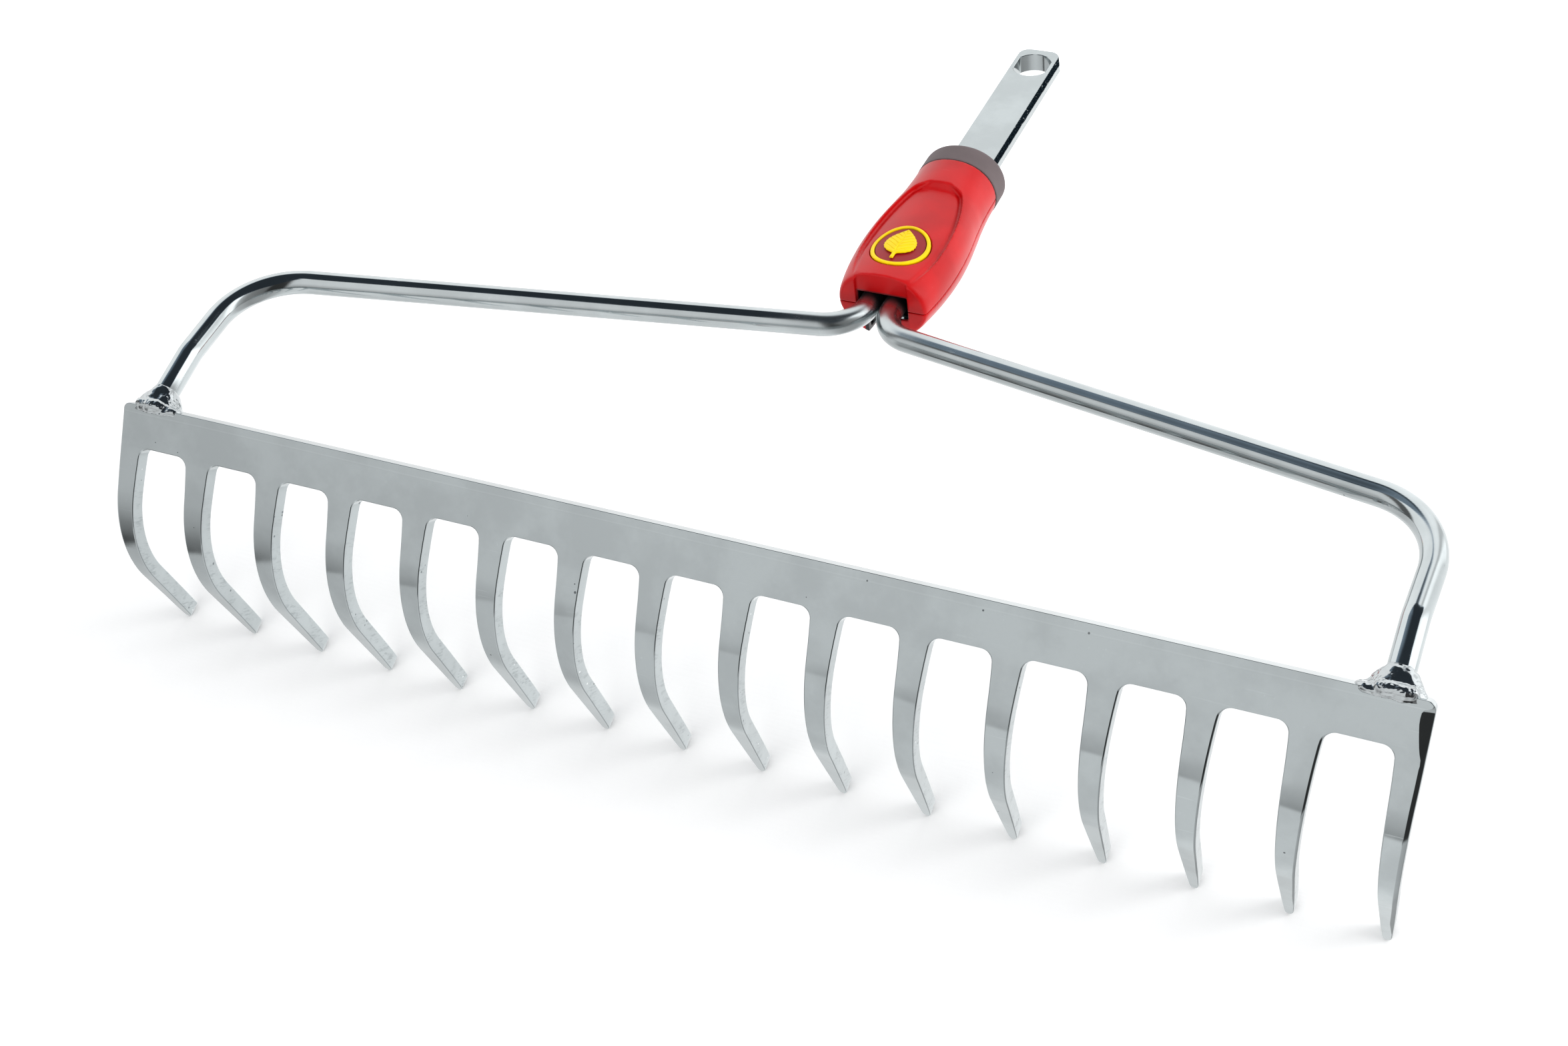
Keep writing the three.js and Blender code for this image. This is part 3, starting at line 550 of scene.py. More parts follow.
    # flat web: front and back
    flat = [Vector((outline[i][0] - out_n[i][0] * first_in[i], -(outline[i][1] - out_n[i][1] * first_in[i]), 0)) for i in web]
    for a, b, c in tessellate_polygon([flat]):
        faces.append((web[a], web[b], web[c]))
        faces.append((back + web[a], back + web[c], back + web[b]))
    for left, right in strips:
        for i in range(len(left) - 1):
            faces.append((left[i], left[i + 1], right[i + 1], right[i]))
            faces.append((back + left[i], back + right[i], back + right[i + 1], back + left[i + 1]))
    return make("blade_plate", pts, faces)


blade = steady(build_blade())

# ------------------------------------------------------------------ bow rods


def rounded(corners, radii, parts):
    corners = [np.asarray(c, float) for c in corners]
    out_pts = [corners[0]]
    for i in range(1, len(corners) - 1):
        b = corners[i]
        u = corners[i - 1] - b
        u /= np.linalg.norm(u)
        v = corners[i + 1] - b
        v /= np.linalg.norm(v)
        ang = math.acos(np.clip(u @ v, -1, 1))
        tl = radii[i - 1] / math.tan(ang / 2)
        bis = (u + v) / np.linalg.norm(u + v)
        c = b + bis * math.hypot(radii[i - 1], tl)
        a0, a1 = u * tl + b - c, v * tl + b - c
        total = math.acos(np.clip(a0 @ a1 / np.linalg.norm(a0) / np.linalg.norm(a1), -1, 1))
        for j in range(parts + 1):
            t = j / parts
            out_pts.append((a0 * math.sin((1 - t) * total) + a1 * math.sin(t * total)) / math.sin(total) + c)
    out_pts.append(corners[-1])
    fine = [out_pts[0]]
    for p, q in zip(out_pts, out_pts[1:]):
        k = max(1, int(np.linalg.norm(q - p) / 6.0))
        fine += [p + (q - p) * (j / k) for j in range(1, k + 1)]
    return np.array(fine)


def sweep(path, r, sides, dome=0.6):
    t = np.gradient(path, axis=0)
    t /= np.linalg.norm(t, axis=1, keepdims=True)
    ref = np.cross(t[0], [0, 0, 1.0])
    ref /= np.linalg.norm(ref)
    rings = []
    a = np.arange(sides) / sides * 2 * math.pi
    normals = []
    for i in range(len(path)):
        if i:
            ref = ref - t[i] * (ref @ t[i])
            ref /= np.linalg.norm(ref)
        normals.append(ref.copy())
        b = np.cross(t[i], ref)
        rings.append(path[i] + r * (np.cos(a)[:, None] * ref + np.sin(a)[:, None] * b))
    # eased ends
    first, last = [], []
    for v in (75, 50, 25):
        k = math.radians(v)
        rr = r - dome + dome * math.cos(k)
        first.append(path[0] - t[0] * 0 + (rings[0] - path[0]) * (rr / r) + t[0] * (dome - dome * math.sin(k)) * 1.0)
        last.append(path[-1] + (rings[-1] - path[-1]) * (rr / r) - t[-1] * (dome - dome * math.sin(k)))
    rings[0] = rings[0] + t[0] * dome
    rings[-1] = rings[-1] - t[-1] * dome
    return loft(first + rings + last[::-1])


_dir = np.array([198.5, 17.6, 17.0]) - np.array([198.6, 3.4, -0.5])
_dir /= np.linalg.norm(_dir)
rod_corners = [np.array([198.6, 3.4, -0.5]) + _dir * 4.6, [198.5, 17.6, 17.0], [199.6, 47.3, 41.0],
               in_blade([4.3, -177.9, -2.3])[0], in_blade([4.2, -136, -3.7])[0]]
rod_path = rounded(rod_corners, [16.8, 28.2, 16.75], 22)
mirror = np.array([-1.0, 1, 1])
rod_right = make("bow_rod_right_steel", *sweep(rod_path, 3.996, 56))
rod_left = make("bow_rod_left_steel", *sweep(rod_path * mirror, 3.996, 56))

# ------------------------------------------------------------------ weld beads on the blade


def ball(name, centre, radii, place=blade_m, detail=5):
    bm = bmesh.new()
    bmesh.ops.create_icosphere(bm, subdivisions=detail, radius=1.0)
    p = np.array([v.co[:] for v in bm.verts]) * np.array(radii) + np.array(centre)
    f = [[v.index for v in face.verts] for face in bm.faces]
    bm.free()
    return make(name, p, f, place)


def bead(name, side):
    """a bell-shaped fillet from the blade's top edge up to the rod"""
    shape = [[0, 9.3, 4.7], [0.2, 9.2, 4.9], [0.4, 8.5, 5.0], [0.58, 7.4, 5.0], [0.75, 6.2, 4.9], [0.88, 5.4, 4.7], [1.0, 4.4, 4.4]]
    foot, head = np.array([198.2, 2.7, -2.6]), np.array([198.6, 3.4, -0.5]) + _dir * 6.7
    u = np.arange(96) / 96 * 2 * math.pi
    rings = []
    for t in np.linspace(0, 1, 30):
        rx, ry = float(hermite(shape, t, 1)), float(hermite(shape, t, 2))
        c = foot + (head - foot) * np.array([t, t ** 1.25, t])
        lean = _dir * t + np.array([0, 0, 1.0]) * (1 - t)
        lean /= np.linalg.norm(lean)
        across = np.cross(lean, [1.0, 0, 0])
        across /= np.linalg.norm(across)
        ring = c + rx * np.cos(u)[:, None] * np.array([1.0, 0, 0]) + ry * np.sin(u)[:, None] * across
        rings.append(ring * np.array([side, 1, 1]))
    a = make(name, *loft(rings))
    x = side
    cut(a, ball("t3", (x * 192.6, 2.4, -0.6), (4.6, 3.6, 2.3)), ball("t4", (x * 198.8, 0.6, 0.5), (6.4, 2.8, 2.6)), op="UNION")
    slab = cuboid("slab", x * 198.2 - 16, x * 198.2 + 16, -7, 15, -14, -1.75, blade_m)
    cut(a, slab)
    soften(a, 0.00026, 3)
    me = a.data
    n = len(me.vertices)
    co = np.empty(n * 3)
    me.vertices.foreach_get("co", co)
    co = co.reshape(-1, 3)
    no = np.array([v.normal[:] for v in me.vertices])
    lift = np.empty(n)
    for i in range(n):
        q = Vector(co[i]) * 1000
        # smooth above, drawn into creases half way down
        level = float((co[i] * 1000 - SHIFT)[1] * ST + (co[i] * 1000 - SHIFT)[2] * CT)
        crease = math.exp(-(((level - 1.9) / 1.3) ** 2))
        lift[i] = (0.50 * noise.noise(q * 0.3 + Vector((side * 9, 0, 0))) + 0.14 * noise.noise(q * 0.7)
                   - (0.05 + 0.22 * crease) * abs(noise.noise(q * 1.1 + Vector((0, side * 5, 0)))))
    co += no * (lift[:, None] * 1.05 - 0.12) / 1000
    hi = cad_hi[2] - 0.0002
    co[:, 2] = np.minimum(co[:, 2], hi)
    me.vertices.foreach_set("co", co.ravel())
    me.update()
    me.shade_smooth()
    return a


bead_left, bead_right = bead("weld_bead_left", -1), bead("weld_bead_right", 1)

# ------------------------------------------------------------------ tang


def build_tang():
    W, r = 8.0, 0.4

    def ztop(y):
        return np.interp(-y, [0, 104, 118, 161], [0, 0, -8.3, -8.3])

    def zbot(y):
        return np.interp(-y, [0, 107.4, 120.6, 161], [-7, -7, -13.6, -13.6])

    # round the section: outward direction (sx, sz), how far in from the corner along x and z
    sec = []
    corner = [(1, 0, 1), (1, 1, -1), (-1, 1, -1), (-1, 0, 1)]
    for j, (sx, low_side, _) in enumerate(corner):
        angs = np.linspace(0, 90, 5)
        base = [90, 0, -90, -180][j]
        for k in angs:
            a = math.radians(base - k)
            sec.append((sx, low_side, math.cos(a), math.sin(a)))
        if j in (0, 2):
            up = j == 0
            for f in (0.25, 0.5, 0.75):
                sec.append((sx, f if up else 1 - f, None, None))
    rings = []

    def ring(theta, y_line, inset, back):
        pts = []
        for sx, fr, cx, cz in sec:
            depth = fr
            c = 3.8 + (2.2 - 3.8) * depth
            if theta is None:
                half, y = W, y_line
            else:
                half, y = W - c + c * math.sin(theta), -c * (1 - math.cos(theta))
            y = y - back
            half = half - inset
            zt, zb = float(ztop(y)) - inset * 0.9, float(zbot(y)) + inset * 0.9
            if cx is None:
                pts.append((sx * (half + (0.0 if fr < 0.55 else -0.05)), y, zt + (zb - zt) * fr))
            else:
                mid_x, mid_z = sx * (half - r), (zt - r) if fr == 0 else (zb + r)
                pts.append((mid_x + r * cx, y, mid_z + r * cz))
        return pts

    for k in (0, 30, 60):
        q = math.radians(k)
        rings.append(ring(0.0, None, 0.38 * (1 - math.sin(q)), 0.38 * (1 - math.cos(q)) - 0.0))
    for th in np.linspace(0, 90, 12)[1:]:
        rings.append(ring(math.radians(th), None, 0, 0))
    # keep the run of rings moving away from the end
    for y in [-4.6, -8, -12, -16, -20, -30, -45, -60, -75, -90, -100, -104, -107.4, -111, -114.5, -118, -120.6, -130, -145, -160.2]:
        rings.append(ring(None, y, 0, 0))
    rings.append(ring(None, -160.6, 0.4, 0))
    ob = make("tang_bar", *loft(rings), handle_m)
    a = np.arange(96) / 96 * 2 * math.pi
    hx, hy = 7.4 * np.cos(a), 7.65 * np.sin(a)
    hx = np.clip(hx, -6.35, 6.35)
    hole_rings = []
    for z, grow in [(1.2, 1.2), (0.0, 0.16), (-0.16, 0.0), (-6.84, 0.0), (-7.0, 0.16), (-8.2, 1.2)]:
        k = (7.4 + grow) / 7.4
        hole_rings.append(np.stack([hx * (6.35 + grow) / 6.35, hy * k - 10.85, np.full(96, z)], 1))
    hole = make("hole", *loft(hole_rings), handle_m)
    screw = cylinder("screw_hole", 0, -100, -20, 10, 1.8)
    cut(ob, hole, screw)
    ob.data.shade_smooth()
    ob.data.set_sharp_from_angle(angle=math.radians(38))
    return ob


tang = steady(build_tang())

# ------------------------------------------------------------------ cover

COVER_C = -3.5
COVER = [
    [93.7, 15.2, 13.8, 2.12, 12.2, 2.0], [97, 15.2, 13.75, 2.13, 12.6, 2.0], [101, 15.25, 13.75, 2.15, 13.1, 2.04],
    [105, 15.4, 13.75, 2.19, 13.5, 2.12], [109, 15.6, 13.75, 2.25, 13.8, 2.24], [113, 16.0, 13.8, 2.33, 13.95, 2.36],
    [117, 16.4, 13.85, 2.42, 14.0, 2.43], [121, 16.9, 13.9, 2.48, 14.0, 2.44], [125, 17.35, 13.9, 2.53, 14.0, 2.4],
    [129, 17.7, 13.9, 2.57, 14.0, 2.36], [133, 17.95, 13.9, 2.58, 14.0, 2.3], [137, 18.1, 13.85, 2.58, 13.95, 2.22],
    [141, 18.15, 13.8, 2.57, 13.9, 2.13], [145, 18.05, 13.7, 2.54, 13.9, 2.04], [149, 17.85, 13.6, 2.5, 13.9, 1.96],
    [153, 17.5, 13.5, 2.46, 13.8, 1.88], [157, 17.0, 13.3, 2.42, 13.6, 1.82], [160, 16.5, 13.15, 2.4, 13.3, 1.8],
    [162.4, 16.05, 12.95, 2.36, 13.0, 1.8], [163.6, 15.6, 12.6, 2.34, 12.7, 1.8], [164.2, 14.9, 12.1, 2.32, 12.2, 1.8],
]
COLLAR = [[83.6, 14.8, 13.1, 2.1, 11.3, 2.0], [84.1, 15.2, 13.5, 2.12, 11.7, 2.0], [85.2, 15.4, 13.75, 2.12, 11.9, 2.0],
          [93.4, 15.4, 13.9, 2.12, 12.2, 2.0]]
PANEL = [[108.2, 5.0], [108.7, 6.6], [109.8, 8.4], [111.6, 9.6], [117, 11.3], [122, 12.4], [128, 13.3], [134, 13.8],
         [140, 14.0], [146, 13.9], [152, 13.3], [158, 12.3], [162, 11.4], [166, 10.6]]
BADGE_Y, BADGE_A, BADGE_B = -145.0, 10.0, 11.6


def panel_height(x, s):
    t = np.clip((s - 106) / (164 - 106), 0, 1)
    return 7.9 + 1.5 * t * t * (3 - 2 * t) - 0.016 * np.asarray(x) ** 2


def section(rows, s, inset=0.0, flat_up=1.0, flat_low=1.0, count=176):
    a, up, pu, lo, pl = (float(hermite(rows, s, k)) for k in (1, 2, 3, 4, 5))
    t = np.arange(count) / count * 2 * math.pi
    c, n = np.cos(t), np.sin(t)
    power = np.where(n >= 0, pu, pl)
    height = np.where(n >= 0, (up - inset) * flat_up, (lo - inset) * flat_low)
    return np.stack([(a - inset) * np.sign(c) * np.abs(c) ** (2 / power), np.full(count, -float(s)),
                     COVER_C + height * np.sign(n) * np.abs(n) ** (2 / power)], 1)


def panel_cutter():
    rings = []
    for s in np.concatenate([[106.9, 107.3, 107.8, 108.2, 108.5, 108.9, 109.4, 110, 110.8, 111.8], np.arange(113, 167, 1.0)]):
        w_here = float(hermite(PANEL, max(s, 108.2)))
        if s < 108.2:
            w_here = 5.0 * math.sqrt(max(0.02, 1 - ((108.2 - s) / 1.4) ** 2))
        rise = float(np.clip((110.0 - s) / 3.1, 0, 1))
        rise = rise * rise * (3 - 2 * rise) * 2.6
        xs = np.linspace(-(w_here - 0.5), w_here - 0.5, 61)
        ring = [(x, -s, float(panel_height(x, s)) + rise - 0.42 * math.exp(-(((w_here - 0.9 - abs(x)) / 0.7) ** 2))) for x in xs]
        edge_z = float(panel_height(w_here, s)) + rise
        right_side = [(w_here - 0.16, -s, edge_z + 0.18), (w_here, -s, edge_z + 0.6), (w_here + 0.12, -s, edge_z + 1.5),
                      (w_here + 0.34, -s, edge_z + 3.4), (w_here + 0.6, -s, 14 + 0.0)]
        left_side = [(-x, y, z) for x, y, z in right_side][::-1]
        rings.append(ring + right_side + left_side)
    return make("panel_cutter", *loft(rings), handle_m)


def on_panel(a, b, below, above, inner=0.0, sides=128, name="disc", crown=0.0, round_edge=0.0):
    """a ring or disc that follows the sunk panel, with eased edges"""
    t = np.arange(sides) / sides * 2 * math.pi
    rings = []

    def ring(out_by, z):
        x, y = (a - out_by) * np.cos(t), BADGE_Y + (b - out_by) * np.sin(t)
        return np.stack([x, y, panel_height(x, -y) + z], 1)

    if inner:
        prof = [(inner, -below), (0, -below), (0, above - round_edge)]
        for k in (30, 60, 90):
            q = math.radians(k)
            prof.append((round_edge * (1 - math.cos(q)), above - round_edge + round_edge * math.sin(q)))
        prof.append((inner / 2, above + crown))
        for k in (90, 60, 30):
            q = math.radians(k)
            prof.append((inner - round_edge * (1 - math.cos(q)), above - round_edge + round_edge * math.sin(q)))
        prof.append((inner, above - round_edge))
        pts = np.concatenate([ring(o_, z_) for o_, z_ in prof])
        n, faces = sides, []
        for i in range(len(prof)):
            i2 = (i + 1) % len(prof)
            for j in range(n):
                k = (j + 1) % n
                faces.append((i * n + j, i * n + k, i2 * n + k, i2 * n + j))
        return make(name, pts, faces, handle_m)
    for o_ in (a * 0.94, a * 0.6, a * 0.3, 0.0):
        rings.append(ring(o_ * 0.98, -below))
    for o_ in (0.0, a * 0.1, a * 0.25, a * 0.4, a * 0.55, a * 0.7, a * 0.85, a * 0.94):
        rings.append(ring(o_ * 0.98, above))
    return make(name, *loft(rings), handle_m)


def build_cover():
    rows = np.concatenate([np.arange(93.7, 160, 1.1), [160, 161, 162, 162.6, 163.1, 163.5, 163.8, 164.0, 164.2]])
    body = make("cover_body", *loft([section(COVER, s) for s in rows]), handle_m)
    hollow = make("hollow", *loft([section(COVER, s, 2.2, 0.69, 1.0) for s in np.linspace(95.6, 161, 30)]), handle_m)
    cut(body, hollow)
    posts = []
    for x, y in ((0, -100), (11.4, -128), (-11.4, -128)):
        p = cylinder("post", x, y, -12.2 if x == 0 else -12.0, 6.0 if x == 0 else 2.6, 3.6 if x == 0 else 3.7)
        posts.append(p)
    cut(body, *posts, op="UNION")
    cut(body, cuboid("mouth", -8.85, 8.85, -175, -158, -7.2, 1.42),
        cuboid("centre", -9.3, 9.3, -175, -163.3, -7.1, 20),
        cuboid("slot", -8.35, 8.35, -100, -90, -7.35, 0.35),
        cuboid("rod_room", -8.75, 8.75, -163, -132, -9.0, 1.4),
        cuboid("room", -8.5, 8.5, -161.5, -95, -13.95, 0.4))
    upper = body
    lower = bpy.data.objects.new("cover_lower", body.data.copy())
    scene.collection.objects.link(lower)
    cut(upper, cuboid("below", -40, 40, -190, -80, -60, COVER_C + 0.13))
    cut(upper, panel_cutter(), on_panel(BADGE_A + 0.3, BADGE_B + 0.3, 1.1, 12, name="pocket"))
    cut(lower, cuboid("above", -40, 40, -190, -80, COVER_C - 0.13, 60), cuboid("notch", -5.6, 5.6, -175, -150, -30, -6.6))
    for x, y, seat, top in ((0, -100, -13.1, 3.4), (11.4, -128, -9.8, 0.9), (-11.4, -128, -9.8, 0.9)):
        cut(upper, cylinder("pilot", x, y, -20, top + 0.4, 1.6))
        cut(lower, cylinder("head", x, y, -30, seat, 3.0), cylinder("shank", x, y, -30, 10, 1.65))
    upper.name, lower.name = "cover_upper", "cover_lower"

    def rim(co):
        """how close a point lies to the rim of the sunk panel or to the shoulder above the mouth"""
        p = (co * 1000 - SHIFT)
        q = np.stack([p[:, 0], p[:, 1] * CT - p[:, 2] * ST, p[:, 1] * ST + p[:, 2] * CT], 1)
        d = q - HANDLE_AT
        x, y, z = d[:, 0], d[:, 1] * CS + d[:, 2] * SN, -d[:, 1] * SN + d[:, 2] * CS
        s = -y
        wv = hermite(PANEL, np.clip(s, 108.2, 166))
        side = np.exp(-(((np.abs(x) - wv - 0.35) / 1.15) ** 2)) * (s > 106) * (z > 3)
        front = np.exp(-(((s - 107.6) / 1.6) ** 2)) * (np.abs(x) < 8.5) * (z > 6)
        shoulder = np.exp(-(((s - 163.3) / 1.3) ** 2)) * (np.abs(x) < 9.5) * (z > 6)
        return np.clip(side + front + shoulder, 0, 1)

    soften(upper, 0.00026, 2, 4, rim)
    soften(lower, 0.0003, 4)
    return upper, lower


cover_upper, cover_lower = build_cover()


def build_collar():
    rows = [83.6, 83.72, 83.9, 84.1, 84.5, 85.2, 86, 88, 90, 92, 93, 93.4]
    ob = make("collar_ring", *loft([section(COLLAR, s) for s in rows]), handle_m)
    inner = make("collar_hollow", *loft([section([[80, *COLLAR[3][1:]], [99, *COLLAR[3][1:]]], s, 2.4) for s in (86.6, 96)]), handle_m)
    cut(ob, inner, cuboid("collar_slot", -8.25, 8.25, -100, -80, -7.25, 0.25))
    soften(ob, 0.00022, 4)
    return ob


collar = build_collar()

# ------------------------------------------------------------------ badge

badge_field = on_panel(BADGE_A - 1.65, BADGE_B - 1.65, 0.75, 0.02, name="badge_field")
badge_ring = on_panel(BADGE_A, BADGE_B, 0.75, 0.42, 1.35, name="badge_ring", crown=0.1, round_edge=0.28)


def build_leaf():
    rows = [[-7.6, 0.5], [-5.4, 0.5], [-4.95, 0.72], [-4.6, 1.3], [-4.2, 2.1], [-3.2, 3.35], [-1.8, 4.3], [-0.2, 4.62], [1.4, 4.45],
            [3.0, 3.8], [4.4, 2.9], [5.6, 1.9], [6.6, 0.95], [7.2, 0.3]]
    long, wide = 1.12, 1.22
    across, ys = 64, np.concatenate([[-7.6], np.linspace(-7.45, 7.1, 130), [7.2]])
    top, bottom = [], []
    for y in ys:
        wv = float(hermite(rows, y))
        blade_part = 1.0 if y > -4.9 else 0.0
        # a toothed edge on the leaf's blade
        if y > -4.4 and y < 6.4:
            wv *= 1 - 0.045 * (0.5 + 0.5 * math.cos((y + 4.4) * 5.2))
        line_t, line_b = [], []
        for j in range(across + 1):
            u = -1 + 2 * j / across
            x = wv * u
            dome = (1 - abs(u) ** 5)
            h = 0.74 + 0.26 * dome
            if blade_part:
                h += 0.12 * dome * (1 - abs(u))
                groove = math.exp(-((x / 0.16) ** 2)) * (1 if y < 6.2 else 0)
                v = (y + 5.0 - abs(x) * 0.85) % 1.75
                side_vein = math.exp(-(((v - 0.87) / 0.11) ** 2)) * (1 if 0.25 < abs(x) < wv * 0.84 else 0)
                h -= 0.24 * max(groove, 0.8 * side_vein)
            end = min(1.0, (y + 7.6) / 0.15 + 0.4, (7.2 - y) / 0.15 + 0.4)
            px, py = x * wide, BADGE_Y + y * long
            z = float(panel_height(px, -py))
            line_t.append((px, py, z + 0.42 + (h - 0.42) * end))
            line_b.append((px, py, z + 0.42))
        top.append(line_t)
        bottom.append(line_b)
    rings = [t + b[::-1] for t, b in zip(top, bottom)]
    return make("badge_leaf", *loft(rings), handle_m)


badge_leaf = build_leaf()
for ob_ in (badge_field,):
    ob_.data.set_sharp_from_angle(angle=math.radians(40))
badge_leaf.data.set_sharp_from_angle(angle=math.radians(60))

# ------------------------------------------------------------------ materials


def blade_coord(net):
    """object coordinates turned into the blade frame, still in metres"""
    tc = net.new("ShaderNodeTexCoord").outputs["Object"]
    moved = net.scaled(tc, (1, 1, 1), loc=tuple(-SHIFT / 1000))
    return tc, net.scaled(moved, (1, 1, 1), rot=(TILT, 0, 0))


def handle_coord(net):
    tc, b = blade_coord(net)
    moved = net.scaled(b, (1, 1, 1), loc=tuple(-HANDLE_AT / 1000))
    return tc, net.scaled(moved, (1, 1, 1), rot=(-SLOPE, 0, 0))


def material(name):
    mat = bpy.data.materials.new(name)
    mat.use_nodes = True
    net = Net(mat.node_tree)
    out_n = net.new("ShaderNodeOutputMaterial")
    bsdf = net.new("ShaderNodeBsdfPrincipled")
    net.join(bsdf.outputs[0], out_n.inputs["Surface"])
    return mat, net, bsdf


def speck(net, vec, scale, size, share):
    """sparse round pits: 1 inside a pit"""
    v = net.new("ShaderNodeTexVoronoi", feature="F1", distance="EUCLIDEAN")
    net.put(v.inputs["Vector"], vec)
    v.inputs["Scale"].default_value = scale
    v.inputs["Randomness"].default_value = 1.0
    sep_ = net.new("ShaderNodeSeparateColor")
    net.join(v.outputs["Color"], sep_.inputs[0])
    here = net.math("LESS_THAN", sep_.outputs[0], share)
    wide = net.mix(sep_.outputs[1], size * 0.5, size * 1.3)
    inside = net.math("LESS_THAN", v.outputs["Distance"], wide)
    return net.math("MULTIPLY", here, inside)


def steel(name, base=(0.447, 0.487, 0.497), rough=0.09, wave=0.05, pits=0.10, scratches=0.5, kind="plain"):
    mat, net, b = material(name)
    tc, bc = blade_coord(net)
    b.inputs["Metallic"].default_value = 1.0
    cloud = net.noise(tc, 55, 4, 0.55)
    fine = net.noise(tc, 900, 3, 0.6)
    pit = speck(net, tc, 230, 0.06, pits)
    crater = speck(net, tc, 75, 0.028, pits * 1.3)
    pit = net.math("MAXIMUM", pit, crater)
    # fine handling scratches, in two directions
    sc1 = net.noise(net.scaled(tc, (30, 900, 900), rot=(0.2, 0.5, 0.4)), 1.0, 2, 0.5)
    sc2 = net.noise(net.scaled(tc, (900, 40, 700), rot=(0.7, 0.1, -0.6)), 1.0, 2, 0.5)
    sc = net.math("MAXIMUM", net.step(sc1, 0.685, 0.72), net.step(sc2, 0.70, 0.735))
    sc = net.math("MULTIPLY", sc, net.step(cloud, 0.48, 0.62))
    sc = net.math("MULTIPLY", sc, scratches)
    light = tuple(min(1, c * 1.05) for c in base) + (1,)
    dark = tuple(c * 0.93 for c in base) + (1,)
    col = net.colour(net.step(cloud, 0.35, 0.65), dark, light)
    col = net.colour(net.math("MULTIPLY", fine, 0.12), col, (*[c * 0.8 for c in base], 1))
    col = net.colour(net.math("MULTIPLY", sc, 0.35), col, (*[min(1, c * 1.35) for c in base], 1))
    col = net.colour(net.math("MULTIPLY", pit, 0.75), col, (0.05, 0.06, 0.065, 1))
    r = net.mix(net.step(cloud, 0.3, 0.7), rough * 0.8, rough * 1.35)
    r = net.math("ADD", r, net.math("MULTIPLY", sc, 0.12))
    r = net.math("ADD", r, net.math("MULTIPLY", pit, 0.3))
    height = net.math("MULTIPLY", net.noise(tc, 38, 2, 0.5), wave)
    height = net.math("ADD", height, net.math("MULTIPLY", net.noise(tc, 420, 3, 0.6), wave * 0.05))
    height = net.math("SUBTRACT", height, net.math("MULTIPLY", pit, 0.06))
    height = net.math("SUBTRACT", height, net.math("MULTIPLY", sc, 0.008))
    geo = net.new("ShaderNodeNewGeometry")
    if kind == "blade":
        s3 = net.new("ShaderNodeSeparateXYZ")
        net.join(bc, s3.inputs[0])
        # faint rolling line under the top edge
        wob = net.math("MULTIPLY", net.math("SUBTRACT", net.noise(net.scaled(tc, (12, 0, 0)), 1.0, 2, 0.5), 0.5), 0.0012)
        zz = net.math("ADD", s3.outputs[2], wob)
        line = net.step(net.math("ABSOLUTE", net.math("ADD", zz, 0.0026)), 0.0004, 0.0)
        col = net.colour(net.math("MULTIPLY", line, 0.10), col, (0.62, 0.66, 0.67, 1))
        height = net.math("ADD", height, net.math("MULTIPLY", line, 0.005))
        # sheared walls: streaks across the plate, rough and torn where the tines bend
        sn = net.new("ShaderNodeSeparateXYZ")
        net.join(geo.outputs["True Normal"], sn.inputs[0])
        nx = net.math("ABSOLUTE", sn.outputs[0])
        wall = net.step(nx, 0.75, 0.93)
        streak = net.noise(net.scaled(bc, (300, 260, 1300), rot=(-0.45, 0, 0)), 1.0, 4, 0.62)
        blotch = net.noise(bc, 170, 4, 0.6)
        bend = net.step(s3.outputs[2], -0.022, -0.034)
        torn = net.math("MULTIPLY", net.math("MULTIPLY", wall, bend), net.step(blotch, 0.42, 0.62))
        wall_rough = net.math("MULTIPLY", wall, net.mix(blotch, 0.20, 0.30))
        r = net.math("ADD", r, wall_rough)
        col = net.colour(net.math("MULTIPLY", torn, net.step(streak, 0.46, 0.62)), col, (0.34, 0.375, 0.385, 1))
        flake = net.math("MULTIPLY", wall, speck(net, bc, 420, 0.16, 0.10))
        col = net.colour(net.math("MULTIPLY", flake, 0.75), col, (0.12, 0.14, 0.15, 1))
        glint = net.math("MULTIPLY", wall, speck(net, tc, 390, 0.14, 0.09))
        col = net.colour(net.math("MULTIPLY", glint, 0.8), col, (0.85, 0.88, 0.88, 1))
        height = net.math("ADD", height, net.math("MULTIPLY", net.math("MULTIPLY", wall, streak), 0.055))
    if kind == "rod":
        # duller where the rods were bent next to the cover
        _, hc = handle_coord(net)
        s3 = net.new("ShaderNodeSeparateXYZ")
        net.join(hc, s3.inputs[0])
        bent = net.step(net.math("ABSOLUTE", s3.outputs[0]), 0.034, 0.017)
        r = net.math("ADD", r, net.math("MULTIPLY", bent, net.mix(cloud, 0.10, 0.20)))
        spot = net.math("MULTIPLY", speck(net, tc, 520, 0.12, 0.05), net.step(net.noise(tc, 60, 2, 0.5), 0.5, 0.6))
        col = net.colour(net.math("MULTIPLY", spot, 0.6), col, (0.08, 0.09, 0.10, 1))
        # painted shade: dark where they run into the cover, and duller there
        scale_ = net.math("ADD", s3.outputs[1], net.math("MULTIPLY", cloud, 0.003))
        cover_shade = net.math("MULTIPLY", bent, net.step(scale_, -0.1668, -0.1625))
        col = net.colour(cover_shade, col, (0.075, 0.088, 0.095, 1))
        r = net.math("ADD", r, net.math("MULTIPLY", cover_shade, 0.3))
    if kind == "tang":
        _, hc = handle_coord(net)
        s3 = net.new("ShaderNodeSeparateXYZ")
        net.join(hc, s3.inputs[0])
        sn = net.new("ShaderNodeSeparateXYZ")
        net.join(geo.outputs["True Normal"], sn.inputs[0])
        nx = net.math("ABSOLUTE", sn.outputs[0])
        wall = net.step(nx, 0.62, 0.85)
